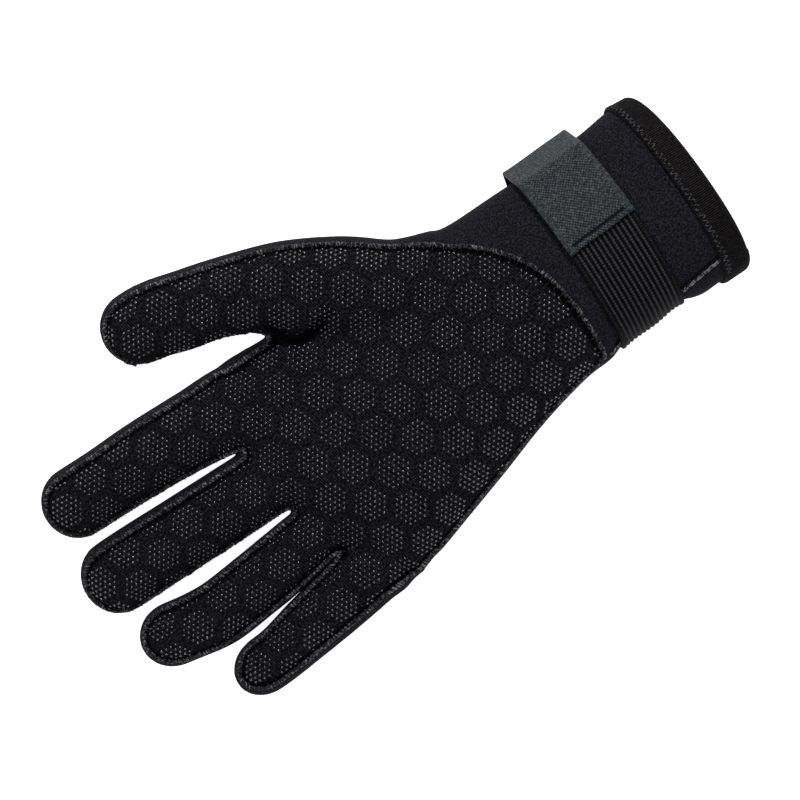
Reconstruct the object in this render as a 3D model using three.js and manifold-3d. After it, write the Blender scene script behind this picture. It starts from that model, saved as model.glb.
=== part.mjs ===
// A right-hand neoprene diving glove, lying on the back of the hand with the palm up.
// Millimetres. +X is the thumb side, +Y runs to the fingertips and +Z points out of the palm.
// The origin is on the flattened back of the hand, under the middle of the palm.

import * as THREE from "three";
import { mergeVertices } from "three/addons/utils/BufferGeometryUtils.js";
import Module from "manifold-3d";

const wasm = await Module();
wasm.setup();

// Neoprene and the gap between pieces that are sewn or laid together
const WALL = 3;
const GAP = 0.3;

// Palm, from the wrist to the crotch beside the middle finger
const PALM_LENGTH = 122;
const PALM_WIDTH = 100;
const PALM_DEPTH = 32;
const PALM_REST = 2.4; // how much of the back of the hand is pressed flat
const WRIST_SHARE = 0.533; // how much of the palm's length lies below the origin

// Cuff, from the hem to the wrist
const CUFF_LENGTH = 65;
const CUFF_WIDTH = 74;
const CUFF_DEPTH = 41;
const CUFF_REST = 1.2;
const HEM_SLANT = 3.5; // the hem's pinky end is this much further down
const HEM_TILT = 3; // and its palm side this much further than its middle

// Fingers and thumb: length past the crotch, width and depth over the foam
const INDEX_LENGTH = 77.5;
const INDEX_WIDTH = 28.6;
const MIDDLE_LENGTH = 79.6;
const MIDDLE_WIDTH = 28.4;
const RING_LENGTH = 78;
const RING_WIDTH = 25;
const PINKY_LENGTH = 65;
const PINKY_WIDTH = 24;
const FINGER_DEPTH = 21.5;
const FINGER_REST = 1.6;
const THUMB_LENGTH = 109;
const THUMB_WIDTH = 27.4;
const THUMB_DEPTH = 23;
const THUMB_HEIGHT = 22; // middle of the thumb over the floor
const FINGERTIP = 13; // length of a rounded end

// Seam between the palm and back panels: how far inside the outline it shows
const SEAM_THUMB_SIDE = 3.5;
const SEAM_PINKY_SIDE = 0.6;
const SEAM_RING = 2;
const SEAM_PALM_EDGE = 1.6;
const SEAM_TIP = 2.5;
const CUFF_SEAM_WIDTH = 0.9;
const CUFF_SEAM_DEPTH = 1;
const CUFF_SEAM_INSET = 4; // side seam's distance from the pinky outline at the middle of the cuff
const CUFF_SEAM_LEAN = 2; // how much further in it lies at the hem

// Strap, hook tab and loop patch
const STRAP_FROM_HEM = 24.5;
const STRAP_WIDTH = 27.5;
const STRAP_THICK = 1.5;
const STRAP_FRONT_END = 22; // X of the end that is sewn under the tab
const STRAP_BACK_END = -12;
const TAB_THICK = 1.4;
const TAB_WIDTH = 27.8;
const TAB_FRONT_END = 10.5;
const TAB_BACK_END = 4;
const TAB_FOLD = 4.9; // how far the folded tab stands out past the cuff's thumb side
const FOLD_SHARP = 1.3; // the tab's thickness across the fold, as a share of its own
const TAB_RISE = 4; // how far the tab climbs towards the fingers along its whole length
const PATCH_WIDTH = 26;
const PATCH_BACK_START = -6;
const PATCH_BACK_END = 36;

// Hem binding
const BINDING_WIDTH = 9;
const BINDING_THICK = 0.9;

// How round the sections are: 2 is an ellipse, more is squarer
const BODY_POWER = 2.2;
const LIMB_POWER = 2.15;
const BODY_SIDES = 32;
const LIMB_SIDES = 18;

const STRAP_OUT = 2 * GAP + STRAP_THICK + TAB_THICK;
const HEM_OUT = GAP + BINDING_THICK;
const WRIST_Y = -WRIST_SHARE * PALM_LENGTH;

// Cuff sections. along: share of the cuff's length from the hem. width, depth: shares of its own.
// centre: middle's X as a share of its width. hem: share of the hem's slant and tilt. lift: share of
// the strap's whole thickness that the cuff is held up by.
const CUFF_ROWS = [
  { along: 0.0, width: 1.0, depth: 1.0, centre: 0.13, hem: 1.0, lift: HEM_OUT / STRAP_OUT + 0.03 },
  { along: 0.15, width: 1.005, depth: 1.0, centre: 0.132, hem: 0.6, lift: 0.55 },
  { along: 0.31, width: 0.983, depth: 0.985, centre: 0.125, hem: 0.2, lift: 0.97 },
  { along: 0.37, width: 0.955, depth: 0.98, centre: 0.134, hem: 0.1, lift: 1.0 },
  { along: 0.58, width: 0.955, depth: 0.98, centre: 0.125, hem: 0.0, lift: 1.0 },
  { along: 0.8, width: 0.965, depth: 0.98, centre: 0.112, hem: 0.0, lift: 1.0 },
  { along: 0.87, width: 0.99, depth: 0.985, centre: 0.1, hem: 0.0, lift: 1.0 },
  { along: 1.0, width: 1.0, depth: 0.97, centre: 0.095, hem: 0.0, lift: 0.7 },
];

// Palm sections. along: share of the palm's length from the wrist. cuff: how much of the size is
// still the cuff's. width, depth: shares of the palm's. centre: middle's X as a share of its width.
// slant and bow: shares of the palm's length that the thumb side and the middle run ahead. end: how
// much of the depth is left where the palm rounds off between the fingers.
const PALM_ROWS = [
  { along: 0.12, cuff: 0.62, width: 0.82, depth: 1.15, centre: 0.03, slant: 0.0, bow: 0.0, end: 1 },
  { along: 0.245, cuff: 0.25, width: 0.865, depth: 1.085, centre: 0.033, slant: 0.0, bow: 0.0, end: 1 },
  { along: 0.37, cuff: 0.05, width: 0.905, depth: 1.07, centre: 0.018, slant: 0.0, bow: 0.0, end: 1 },
  { along: 0.533, cuff: 0.0, width: 0.96, depth: 1.02, centre: -0.012, slant: 0.0, bow: 0.0, end: 1 },
  { along: 0.69, cuff: 0.0, width: 1.015, depth: 0.955, centre: -0.043, slant: 0.02, bow: 0.005, end: 1 },
  { along: 0.78, cuff: 0.0, width: 1.035, depth: 0.87, centre: -0.058, slant: 0.075, bow: 0.03, end: 1 },
  { along: 0.84, cuff: 0.0, width: 1.025, depth: 0.76, centre: -0.062, slant: 0.13, bow: 0.06, end: 0.98 },
  { along: 0.875, cuff: 0.0, width: 1.01, depth: 0.7, centre: -0.062, slant: 0.16, bow: 0.08, end: 0.88 },
  { along: 0.893, cuff: 0.0, width: 1.015, depth: 0.68, centre: -0.063, slant: 0.175, bow: 0.09, end: 0.68 },
  { along: 0.9, cuff: 0.0, width: 1.0, depth: 0.67, centre: -0.063, slant: 0.18, bow: 0.094, end: 0.42 },
];

// Fingers and thumb. root: shares of the palm's width and length, where the crotch crosses the
// middle line. lean: how far the tip leans to the thumb side, as a share of the length. sway, width,
// depth: shares of its own width and depth at each share of its length; below 0 is inside the palm.
const LIMBS = [
  {
    name: "index",
    root: { across: 0.305, along: 0.463 },
    length: INDEX_LENGTH,
    lean: 0.035,
    width: INDEX_WIDTH,
    depth: FINGER_DEPTH,
    seam: { pinky: SEAM_PINKY_SIDE, thumb: SEAM_THUMB_SIDE },
    rows: [
      { along: -0.42, sway: -0.06, width: 0.78, depth: 0.85 },
      { along: 0.0, sway: 0.0, width: 1.02, depth: 1.03 },
      { along: 0.18, sway: 0.045, width: 1.02, depth: 1.02 },
      { along: 0.44, sway: 0.06, width: 0.99, depth: 1.0 },
      { along: 0.68, sway: 0.035, width: 0.955, depth: 0.97 },
    ],
  },
  {
    name: "middle",
    root: { across: 0.022, along: 0.466 },
    length: MIDDLE_LENGTH,
    lean: 0.0,
    width: MIDDLE_WIDTH,
    depth: FINGER_DEPTH,
    seam: { pinky: SEAM_PINKY_SIDE, thumb: SEAM_THUMB_SIDE },
    rows: [
      { along: -0.42, sway: 0.0, width: 0.8, depth: 0.85 },
      { along: 0.0, sway: 0.0, width: 0.96, depth: 1.03 },
      { along: 0.25, sway: 0.0, width: 0.98, depth: 1.02 },
      { along: 0.5, sway: 0.005, width: 0.99, depth: 1.0 },
      { along: 0.72, sway: 0.01, width: 1.0, depth: 0.98 },
    ],
  },
  {
    name: "ring",
    root: { across: -0.243, along: 0.427 },
    length: RING_LENGTH,
    lean: -0.008,
    width: RING_WIDTH,
    depth: FINGER_DEPTH,
    seam: { pinky: SEAM_RING, thumb: SEAM_RING },
    rows: [
      { along: -0.4, sway: 0.0, width: 0.8, depth: 0.85 },
      { along: 0.0, sway: 0.0, width: 0.93, depth: 1.0 },
      { along: 0.23, sway: -0.1, width: 1.0, depth: 0.98 },
      { along: 0.42, sway: -0.16, width: 1.0, depth: 0.96 },
      { along: 0.62, sway: -0.2, width: 1.0, depth: 0.94 },
      { along: 0.77, sway: -0.13, width: 0.97, depth: 0.93 },
    ],
  },
  {
    name: "pinky",
    root: { across: -0.458, along: 0.357 },
    length: PINKY_LENGTH,
    lean: -0.162,
    width: PINKY_WIDTH,
    depth: FINGER_DEPTH,
    seam: { pinky: SEAM_THUMB_SIDE, thumb: SEAM_PALM_EDGE },
    rows: [
      { along: -0.45, sway: 0.16, width: 0.74, depth: 0.8 },
      { along: 0.0, sway: -0.03, width: 1.1, depth: 0.96 },
      { along: 0.26, sway: -0.06, width: 1.05, depth: 0.93 },
      { along: 0.5, sway: -0.06, width: 0.985, depth: 0.9 },
      { along: 0.74, sway: -0.06, width: 0.9, depth: 0.87 },
    ],
  },
  {
    name: "thumb",
    root: { across: 0.36, along: -0.18 },
    length: THUMB_LENGTH,
    lean: 0.399,
    width: THUMB_WIDTH,
    depth: THUMB_DEPTH,
    height: THUMB_HEIGHT,
    seam: { pinky: -SEAM_PINKY_SIDE, thumb: SEAM_THUMB_SIDE },
    rows: [
      { along: -0.18, sway: 0.15, width: 0.95, depth: 1.12 },
      { along: 0.0, sway: 0.0, width: 1.23, depth: 1.2 },
      { along: 0.187, sway: 0.1, width: 1.38, depth: 1.2 },
      { along: 0.374, sway: 0.24, width: 1.27, depth: 1.12 },
      { along: 0.54, sway: 0.29, width: 1.09, depth: 1.02 },
      { along: 0.695, sway: 0.26, width: 1.0, depth: 1.0 },
      { along: 0.85, sway: 0.16, width: 0.99, depth: 0.96 },
    ],
  },
];

// Turns through a fingertip, in degrees from where it starts to round
const TIP_TURNS = [22, 44, 64, 80];

// The wrist seam as it runs up to the thumb: shares of the palm's width and length
const WRIST_SEAM = [
  { across: -0.4, along: -0.572 },
  { across: -0.06, along: -0.57 },
  { across: 0.14, along: -0.528 },
  { across: 0.3, along: -0.43 },
  { across: 0.45, along: -0.268 },
  { across: 0.655, along: -0.03 },
];

function mix(a, b, t) {
  return a + (b - a) * t;
}

// Sections of the cuff and palm in one list, made smaller all round by inset
function bodySections(inset) {
  const sections = CUFF_ROWS.map((row) => {
    const floor = row.lift * STRAP_OUT;
    const depth = row.depth * CUFF_DEPTH;
    return {
      station: row.along * CUFF_LENGTH,
      x: row.centre * CUFF_WIDTH,
      y: WRIST_Y - (1 - row.along) * CUFF_LENGTH,
      slant: row.hem * HEM_SLANT,
      tilt: (row.hem * HEM_TILT * 2) / CUFF_DEPTH,
      bow: 0,
      width: row.width * CUFF_WIDTH,
      depth,
      floor,
      rest: CUFF_REST,
      end: 1,
    };
  });
  const wrist = sections[sections.length - 1];
  for (const row of PALM_ROWS) {
    const own = 1 - row.cuff;
    const distance = row.along * (PALM_LENGTH - inset);
    sections.push({
      station: CUFF_LENGTH + distance,
      x: row.cuff * wrist.x + own * row.centre * PALM_WIDTH,
      y: WRIST_Y + distance,
      slant: row.slant * PALM_LENGTH,
      tilt: 0,
      bow: row.bow * PALM_LENGTH,
      width: row.cuff * wrist.width + own * row.width * PALM_WIDTH,
      depth: row.cuff * wrist.depth + own * row.depth * PALM_DEPTH,
      floor: row.cuff ** 2 * wrist.floor,
      rest: PALM_REST,
      end: row.end,
    });
  }
  return sections.map((s) => {
    const halfDepth = (s.depth + s.rest) / 2;
    const half = Math.hypot(s.width, s.slant) / 2;
    return {
      station: s.station,
      x: s.x,
      y: s.y,
      z: s.floor + s.depth - halfDepth,
      acrossX: s.width / 2 / half,
      acrossY: s.slant / 2 / half,
      bow: s.bow,
      tilt: s.tilt,
      halfWidth: half - inset,
      halfDepth: (halfDepth - inset) * s.end,
      fullWidth: half - inset,
      fullDepth: halfDepth - inset,
      floor: s.floor + inset,
      power: BODY_POWER,
    };
  });
}

// Sections of a finger or the thumb, made smaller all round by inset
function limbSections(limb, inset) {
  const height = limb.height ?? limb.depth / 2;
  const rest = limb.height ? 0 : FINGER_REST;
  const direction = new THREE.Vector2(limb.lean, 1).normalize();
  const side = new THREE.Vector2(direction.y, -direction.x);
  const root = new THREE.Vector2(
    limb.root.across * PALM_WIDTH,
    limb.root.along * PALM_LENGTH,
  );
  const tipStart = 1 - FINGERTIP / limb.length;
  const last = limb.rows[limb.rows.length - 1];
  const rows = limb.rows.map((row) => ({ ...row, shrink: 1 }));
  rows[0].along += inset / limb.length;
  rows.push({ ...last, along: tipStart, sway: last.sway * 0.7, shrink: 1 });
  for (const turn of TIP_TURNS) {
    const angle = THREE.MathUtils.degToRad(turn);
    const reach = (FINGERTIP - inset) * Math.sin(angle);
    rows.push({
      along: tipStart + reach / limb.length,
      sway: last.sway * 0.7 * (1 - Math.sin(angle)),
      width: last.width,
      depth: last.depth,
      shrink: Math.cos(angle),
    });
  }
  const middle = rows.map((row) =>
    root
      .clone()
      .addScaledVector(direction, row.along * limb.length)
      .addScaledVector(side, row.sway * limb.width),
  );
  return rows.map((row, i) => {
    const before = middle[Math.max(0, i - 1)];
    const after = middle[Math.min(middle.length - 1, i + 1)];
    const run = after.clone().sub(before).normalize();
    const depth = row.depth * limb.depth;
    const halfDepth = (depth + rest) / 2;
    return {
      x: middle[i].x,
      y: middle[i].y,
      z: limb.height ? height : depth - halfDepth,
      acrossX: run.y,
      acrossY: -run.x,
      bow: 0,
      tilt: 0,
      halfWidth: ((row.width * limb.width) / 2 - inset) * row.shrink,
      halfDepth: (halfDepth - inset) * row.shrink ** 0.8,
      fullWidth: (row.width * limb.width) / 2 - inset,
      fullDepth: halfDepth - inset,
      floor: inset,
      power: LIMB_POWER,
      tip: Math.max(0, (row.along - tipStart) / (1 - tipStart)),
    };
  });
}

// A point of a section. turn 0 is the thumb side, 90 degrees the palm, 180 degrees the pinky side.
function sectionPoint(s, turn) {
  const cos = Math.cos(turn);
  const sin = Math.sin(turn);
  const u = Math.sign(cos) * Math.abs(cos) ** (2 / s.power);
  const w = Math.sign(sin) * Math.abs(sin) ** (2 / s.power);
  const out = s.halfWidth * u;
  const z = Math.max(s.floor, s.z + s.halfDepth * w);
  const ahead = s.bow * (1 - u * u) - s.tilt * (z - s.z);
  return new THREE.Vector3(
    s.x + s.acrossX * out - s.acrossY * ahead,
    s.y + s.acrossY * out + s.acrossX * ahead,
    z,
  );
}

// A closed surface through rings of points, each ring the other way round as seen from its start
function loft(rings) {
  const count = rings[0].length;
  const points = rings.flat();
  const first = points.length;
  points.push(middleOf(rings[0]), middleOf(rings[rings.length - 1]));
  const index = [];
  for (let r = 0; r + 1 < rings.length; r++) {
    for (let k = 0; k < count; k++) {
      const a = r * count + k;
      const b = r * count + ((k + 1) % count);
      index.push(a, a + count, b, b, a + count, b + count);
    }
  }
  const end = (rings.length - 1) * count;
  for (let k = 0; k < count; k++) {
    const next = (k + 1) % count;
    index.push(first, k, next);
    index.push(first + 1, end + next, end + k);
  }
  return surface(points, index);
}

function middleOf(ring) {
  const sum = new THREE.Vector3();
  for (const p of ring) sum.add(p);
  return sum.divideScalar(ring.length);
}

function surface(points, index) {
  const geometry = new THREE.BufferGeometry().setFromPoints(points);
  geometry.setIndex(index);
  return geometry;
}

// A three.js surface as a solid that can be joined and cut
function solid(geometry) {
  const plain = geometry.clone();
  plain.deleteAttribute("normal");
  plain.deleteAttribute("uv");
  const merged = mergeVertices(plain, 1e-4);
  return new wasm.Manifold(
    new wasm.Mesh({
      numProp: 3,
      vertProperties: new Float32Array(merged.attributes.position.array),
      triVerts: new Uint32Array(merged.index.array),
    }),
  );
}

function geometryOf(body) {
  const mesh = body.getMesh();
  const geometry = new THREE.BufferGeometry();
  geometry.setAttribute(
    "position",
    new THREE.BufferAttribute(new Float32Array(mesh.vertProperties), 3),
  );
  geometry.setIndex(new THREE.BufferAttribute(new Uint32Array(mesh.triVerts), 1));
  geometry.computeVertexNormals();
  return geometry;
}

function turnsRound(sides) {
  return Array.from({ length: sides }, (_, k) => (k / sides) * 2 * Math.PI);
}

// The glove's whole form, made smaller all round by inset
function form(inset, hemExtra) {
  const body = bodySections(inset);
  if (hemExtra > 0) body.unshift(between(body, -hemExtra));
  const bodyRings = body.map((s) => turnsRound(BODY_SIDES).map((t) => sectionPoint(s, t)));
  let whole = solid(loft(bodyRings));
  for (const limb of LIMBS) {
    const rings = limbSections(limb, inset).map((s) =>
      turnsRound(LIMB_SIDES).map((t) => sectionPoint(s, t)),
    );
    whole = whole.add(solid(loft(rings)));
  }
  return whole;
}

// The section at a distance from the hem, carried on in a straight line past the ends
function between(sections, distance) {
  let i = 1;
  while (i < sections.length - 1 && sections[i].station < distance) i++;
  const a = sections[i - 1];
  const b = sections[i];
  const t = (distance - a.station) / (b.station - a.station);
  const s = {};
  for (const key of Object.keys(a)) s[key] = mix(a[key], b[key], t);
  return s;
}

// Everything over the seam: a trough whose keel is the middle line and whose edges pass the outline
// above it. The seam's inset sets how steeply each side of the trough climbs.
function troughRing(s, seam, clear, top) {
  const climb = (inset) => {
    const share = Math.abs(inset) / s.fullWidth;
    const height = s.fullDepth * (1 - (1 - share) ** s.power) ** (1 / s.power);
    return (Math.sign(inset) * height) / (s.fullWidth * (1 - share));
  };
  const edge = (side, inset) => {
    const slope = climb(mix(inset, SEAM_TIP, s.tip));
    const shift = clear / Math.hypot(1, slope);
    const out = side * Math.max(s.halfWidth - shift * slope, 0);
    return {
      x: s.x + s.acrossX * out,
      y: s.y + s.acrossY * out,
      z: s.z + s.fullWidth * slope + shift,
    };
  };
  const thumb = edge(1, seam.thumb);
  const pinky = edge(-1, seam.pinky);
  const rise = s.tip * ((thumb.z + pinky.z) / 2 - s.z);
  const ahead = { x: -s.acrossY * s.bow, y: s.acrossX * s.bow };
  return [
    new THREE.Vector3(thumb.x, thumb.y, thumb.z),
    new THREE.Vector3(thumb.x, thumb.y, top),
    new THREE.Vector3(s.x + ahead.x, s.y + ahead.y, top),
    new THREE.Vector3(pinky.x, pinky.y, top),
    new THREE.Vector3(pinky.x, pinky.y, pinky.z),
    new THREE.Vector3(s.x + ahead.x, s.y + ahead.y, s.z + rise + clear),
  ];
}

const OVER_ALL = CUFF_DEPTH + PALM_DEPTH; // clear above everything
const OUTSIDE = 0.3; // how far the trough's edges pass the outline

// Plan shape of all that lies on the finger side of the wrist seam
function aboveWristSeam(clear) {
  const line = new THREE.SplineCurve(
    WRIST_SEAM.map((p) => new THREE.Vector2(p.across * PALM_WIDTH, p.along * PALM_LENGTH)),
  );
  const far = PALM_LENGTH + THUMB_LENGTH;
  const shape = new THREE.Shape();
  const steps = 14;
  shape.moveTo(-far, line.getPoint(0).y + clear);
  for (let i = 0; i <= steps; i++) {
    const p = line.getPoint(i / steps);
    const run = line.getTangent(i / steps);
    shape.lineTo(p.x - run.y * clear, p.y + run.x * clear);
  }
  shape.lineTo(far, line.getPoint(1).y + clear);
  shape.lineTo(far, far);
  shape.lineTo(-far, far);
  shape.closePath();
  return solid(new THREE.ExtrudeGeometry(shape, { depth: OVER_ALL, bevelEnabled: false }));
}

// All that the palm panel takes, made smaller by clear along the seam
function palmSide(clear) {
  const palmRows = bodySections(clear - OUTSIDE).slice(CUFF_ROWS.length - 2);
  const ends = palmRows.length - 1;
  const palmRings = palmRows.map((s, i) => {
    const tip = Math.max(0, (i - ends + 3) / 3);
    return troughRing(
      { ...s, tip },
      { pinky: SEAM_PALM_EDGE, thumb: SEAM_THUMB_SIDE },
      clear,
      OVER_ALL,
    );
  });
  let side = solid(loft(palmRings));
  for (const limb of LIMBS) {
    const rings = limbSections(limb, clear - OUTSIDE).map((s) =>
      troughRing(s, limb.seam, clear, OVER_ALL),
    );
    side = side.add(solid(loft(rings)));
  }
  return side.intersect(aboveWristSeam(clear));
}

// The turn at which a section's front, or back, has a given X
function turnAt(s, x, front) {
  const u = THREE.MathUtils.clamp((x - s.x) / s.halfWidth, -1, 1);
  const turn = Math.acos(Math.sign(u) * Math.abs(u) ** (s.power / 2));
  return front ? turn : 2 * Math.PI - turn;
}

// Turns from one to another that keep to the cuff's own facets
function turnsBetween(from, to) {
  const step = (2 * Math.PI) / BODY_SIDES;
  const turns = [from];
  for (let k = Math.ceil((from + 0.02) / step); k * step < to - 0.02; k++) turns.push(k * step);
  turns.push(to);
  return turns;
}

// A band laid on the cuff: corner(turn, level, edge) gives its point on the inner or outer level,
// at its hem-side or finger-side edge
function band(turns, corner) {
  const rings = turns.map((turn) => [
    corner(turn, 0, 0),
    corner(turn, 0, 1),
    corner(turn, 1, 1),
    corner(turn, 1, 0),
  ]);
  return loft(rings);
}

function cuffPoint(turn, distance, out) {
  return sectionPoint(between(bodySections(-out), distance), turn);
}

function strapGeometry() {
  const middle = between(bodySections(-GAP), STRAP_FROM_HEM + STRAP_WIDTH / 2);
  const from = turnAt(middle, STRAP_FRONT_END, true);
  const to = turnAt(middle, STRAP_BACK_END, false);
  return band(turnsBetween(from, to), (turn, level, edge) =>
    cuffPoint(turn, STRAP_FROM_HEM + edge * STRAP_WIDTH, GAP + level * STRAP_THICK),
  );
}

function patchGeometry() {
  const start = STRAP_FROM_HEM + (STRAP_WIDTH - PATCH_WIDTH) / 2;
  const middle = between(bodySections(-GAP), start);
  const from = turnAt(middle, PATCH_BACK_START, false);
  const to = turnAt(middle, PATCH_BACK_END, false);
  return band(turnsBetween(from, to), (turn, level, edge) =>
    cuffPoint(turn, start + edge * PATCH_WIDTH, GAP + level * STRAP_THICK),
  );
}

// The tab lies on the strap's end, leaves the cuff in a straight line, folds sharply at the thumb
// side and comes back to the patch
function tabGeometry() {
  const start = STRAP_FROM_HEM + (STRAP_WIDTH - TAB_WIDTH) / 2;
  const below = 2 * GAP + STRAP_THICK;
  const middle = between(bodySections(-below), STRAP_FROM_HEM + STRAP_WIDTH / 2);
  const from = -turnAt(middle, TAB_BACK_END, true);
  const to = turnAt(middle, TAB_FRONT_END, true);
  const leave = (3 * 2 * Math.PI) / BODY_SIDES;
  return band(turnsBetween(from, to), (turn, level, edge) => {
    const rise = (TAB_RISE * (to - turn)) / (to - from);
    const distance = start + edge * TAB_WIDTH + rise;
    const out = below + level * TAB_THICK;
    if (Math.abs(turn) > leave - 0.01) return cuffPoint(turn, distance, out);
    const edgePoint = cuffPoint(turn < 0 ? -leave : leave, distance, out);
    const s = between(bodySections(-out), distance);
    const side = s.x + s.halfWidth - out + TAB_FOLD;
    const fold = new THREE.Vector3(side - (1 - level) * TAB_THICK * FOLD_SHARP, s.y, s.z);
    return edgePoint.lerp(fold, 1 - Math.abs(turn) / leave);
  });
}

// Tape folded over the hem: eight corners of its U, carried round the cuff
function bindingGeometry() {
  const near = GAP;
  const far = GAP + BINDING_THICK;
  const corners = [
    { distance: BINDING_WIDTH, out: near },
    { distance: BINDING_WIDTH, out: far },
    { distance: -far, out: far },
    { distance: -far, out: -WALL - far },
    { distance: BINDING_WIDTH, out: -WALL - far },
    { distance: BINDING_WIDTH, out: -WALL - near },
    { distance: -near, out: -WALL - near },
    { distance: -near, out: near },
  ];
  const turns = turnsRound(BODY_SIDES);
  const points = turns.flatMap((t) => corners.map((c) => cuffPoint(t, c.distance, c.out)));
  const index = [];
  for (let r = 0; r < turns.length; r++) {
    const next = (r + 1) % turns.length;
    for (let k = 0; k < corners.length; k++) {
      const a = r * corners.length + k;
      const b = r * corners.length + ((k + 1) % corners.length);
      const c = next * corners.length + k;
      const d = next * corners.length + ((k + 1) % corners.length);
      index.push(a, c, b, b, c, d);
    }
  }
  return surface(points, index);
}

// The side seam of the cuff, a shallow groove from the hem to the wrist seam
function cuffSeamGroove() {
  const wristSeam = CUFF_LENGTH + (WRIST_SEAM[0].along + WRIST_SHARE) * PALM_LENGTH;
  const stations = [-1, CUFF_LENGTH * 0.35, CUFF_LENGTH * 0.7, wristSeam];
  const rings = stations.map((distance) => {
    const lean = 1 - (2 * distance) / CUFF_LENGTH;
    const inset = CUFF_SEAM_INSET + CUFF_SEAM_LEAN * lean;
    const s = between(bodySections(0), distance);
    const place = (x, out) => {
      const turn = turnAt(s, x, true);
      return cuffPoint(turn, distance, out);
    };
    const x = s.x - s.halfWidth + inset;
    const half = CUFF_SEAM_WIDTH / 2;
    return [
      place(x + half, -CUFF_SEAM_DEPTH),
      place(x + half, 1),
      place(x - half, 1),
      place(x - half, -CUFF_SEAM_DEPTH),
    ];
  });
  return solid(loft(rings));
}

const MATERIALS = {
  palm: { color: 0x2b2b30, roughness: 0.85, metalness: 0 },
  neoprene: { color: 0x1c1c22, roughness: 0.8, metalness: 0 },
  binding: { color: 0x1a1a1b, roughness: 0.85, metalness: 0 },
  elastic: { color: 0x1d1d1c, roughness: 0.8, metalness: 0 },
  hook: { color: 0x4c5253, roughness: 0.7, metalness: 0 },
  loop: { color: 0x161618, roughness: 0.95, metalness: 0 },
};

function piece(name, geometry, material) {
  const mesh = new THREE.Mesh(geometry, new THREE.MeshStandardMaterial(MATERIALS[material]));
  mesh.name = name;
  return mesh;
}

const shell = form(0, 0).subtract(form(WALL, CUFF_LENGTH / 2));
const palmPanel = shell.intersect(palmSide(GAP / 2));
const backPanel = shell.subtract(palmSide(-GAP / 2)).subtract(cuffSeamGroove());

const group = new THREE.Group();
group.name = "diving_glove";
group.add(
  piece("palm_panel", geometryOf(palmPanel), "palm"),
  piece("back_panel", geometryOf(backPanel), "neoprene"),
  piece("hem_binding", bindingGeometry(), "binding"),
  piece("elastic_strap", strapGeometry(), "elastic"),
  piece("hook_tab", tabGeometry(), "hook"),
  piece("loop_patch", patchGeometry(), "loop"),
);

export default group;
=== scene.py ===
"""A right-hand neoprene diving glove on its back, palm up, on a pale studio floor.

Lengths in the tables are millimetres and go into the meshes as metres. +X is the thumb side, +Y
runs to the fingertips and +Z points out of the palm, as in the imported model.
"""

import math
import random

import bmesh
import bpy
import numpy as np
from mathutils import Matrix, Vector
from mathutils.bvhtree import BVHTree
from mathutils.kdtree import KDTree


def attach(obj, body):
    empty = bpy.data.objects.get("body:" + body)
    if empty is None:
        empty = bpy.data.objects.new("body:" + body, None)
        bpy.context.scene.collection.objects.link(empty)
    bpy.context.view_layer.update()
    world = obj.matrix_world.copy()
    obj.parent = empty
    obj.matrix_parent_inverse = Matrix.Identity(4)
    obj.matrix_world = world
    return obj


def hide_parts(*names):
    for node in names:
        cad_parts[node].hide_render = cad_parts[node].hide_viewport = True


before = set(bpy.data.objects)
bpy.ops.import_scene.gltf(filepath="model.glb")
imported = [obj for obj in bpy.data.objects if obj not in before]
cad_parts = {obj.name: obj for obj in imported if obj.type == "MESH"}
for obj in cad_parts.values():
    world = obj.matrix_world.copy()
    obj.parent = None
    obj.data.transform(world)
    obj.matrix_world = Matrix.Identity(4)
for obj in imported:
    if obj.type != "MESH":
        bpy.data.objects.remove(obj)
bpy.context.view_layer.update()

MM = 0.001
PHOTO_SIZE, FOCAL_PIXELS, SENSOR = 800, 2000, 36
CAMERA_HEIGHT, CAMERA_TURN = 0.75, 237


def placed(name, data):
    """An object of the scene, from its mesh, light or camera"""
    thing = bpy.data.objects.new(name, data)
    bpy.context.scene.collection.objects.link(thing)
    return thing


def make_camera():
    """Straight over the palm, turned so that the fingers point to the lower left"""
    data = bpy.data.cameras.new("camera")
    data.sensor_width = SENSOR
    data.lens = FOCAL_PIXELS / PHOTO_SIZE * SENSOR
    camera = placed("camera", data)
    camera.location = (0, 0, CAMERA_HEIGHT)
    camera.rotation_euler = (0, 0, math.radians(CAMERA_TURN))
    bpy.context.scene.camera = camera


make_camera()

# ------ sizes of the glove

WALL = 3
GAP = 0.3
PALM_LENGTH, PALM_WIDTH, PALM_DEPTH, PALM_REST = 122, 100, 32, 2.4
WRIST_Y = -0.533 * PALM_LENGTH
CUFF_LENGTH, CUFF_WIDTH, CUFF_DEPTH, CUFF_REST = 65, 74, 41, 1.2
HEM_SLANT, HEM_TILT = 3.5, 3
FINGER_DEPTH, FINGER_REST, FINGERTIP = 21.5, 1.6, 13
SEAM_TIP = 2.5

STRAP_FROM_HEM, STRAP_WIDTH, STRAP_THICK = 24.5, 27.5, 1.5
STRAP_FRONT_END, STRAP_BACK_END = 22, -12
TAB_THICK, TAB_WIDTH, TAB_FRONT_END, TAB_BACK_END, TAB_FOLD, TAB_RISE = 1.4, 27.8, 10.5, 4, 4.9, 4
PATCH_WIDTH, PATCH_BACK_START, PATCH_BACK_END = 26, -6, 36
BINDING_WIDTH, BINDING_THICK = 9, 0.9
STRAP_OUT = 2 * GAP + STRAP_THICK + TAB_THICK
HEM_OUT = GAP + BINDING_THICK

BODY_POWER, LIMB_POWER = 2.2, 2.15

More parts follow.
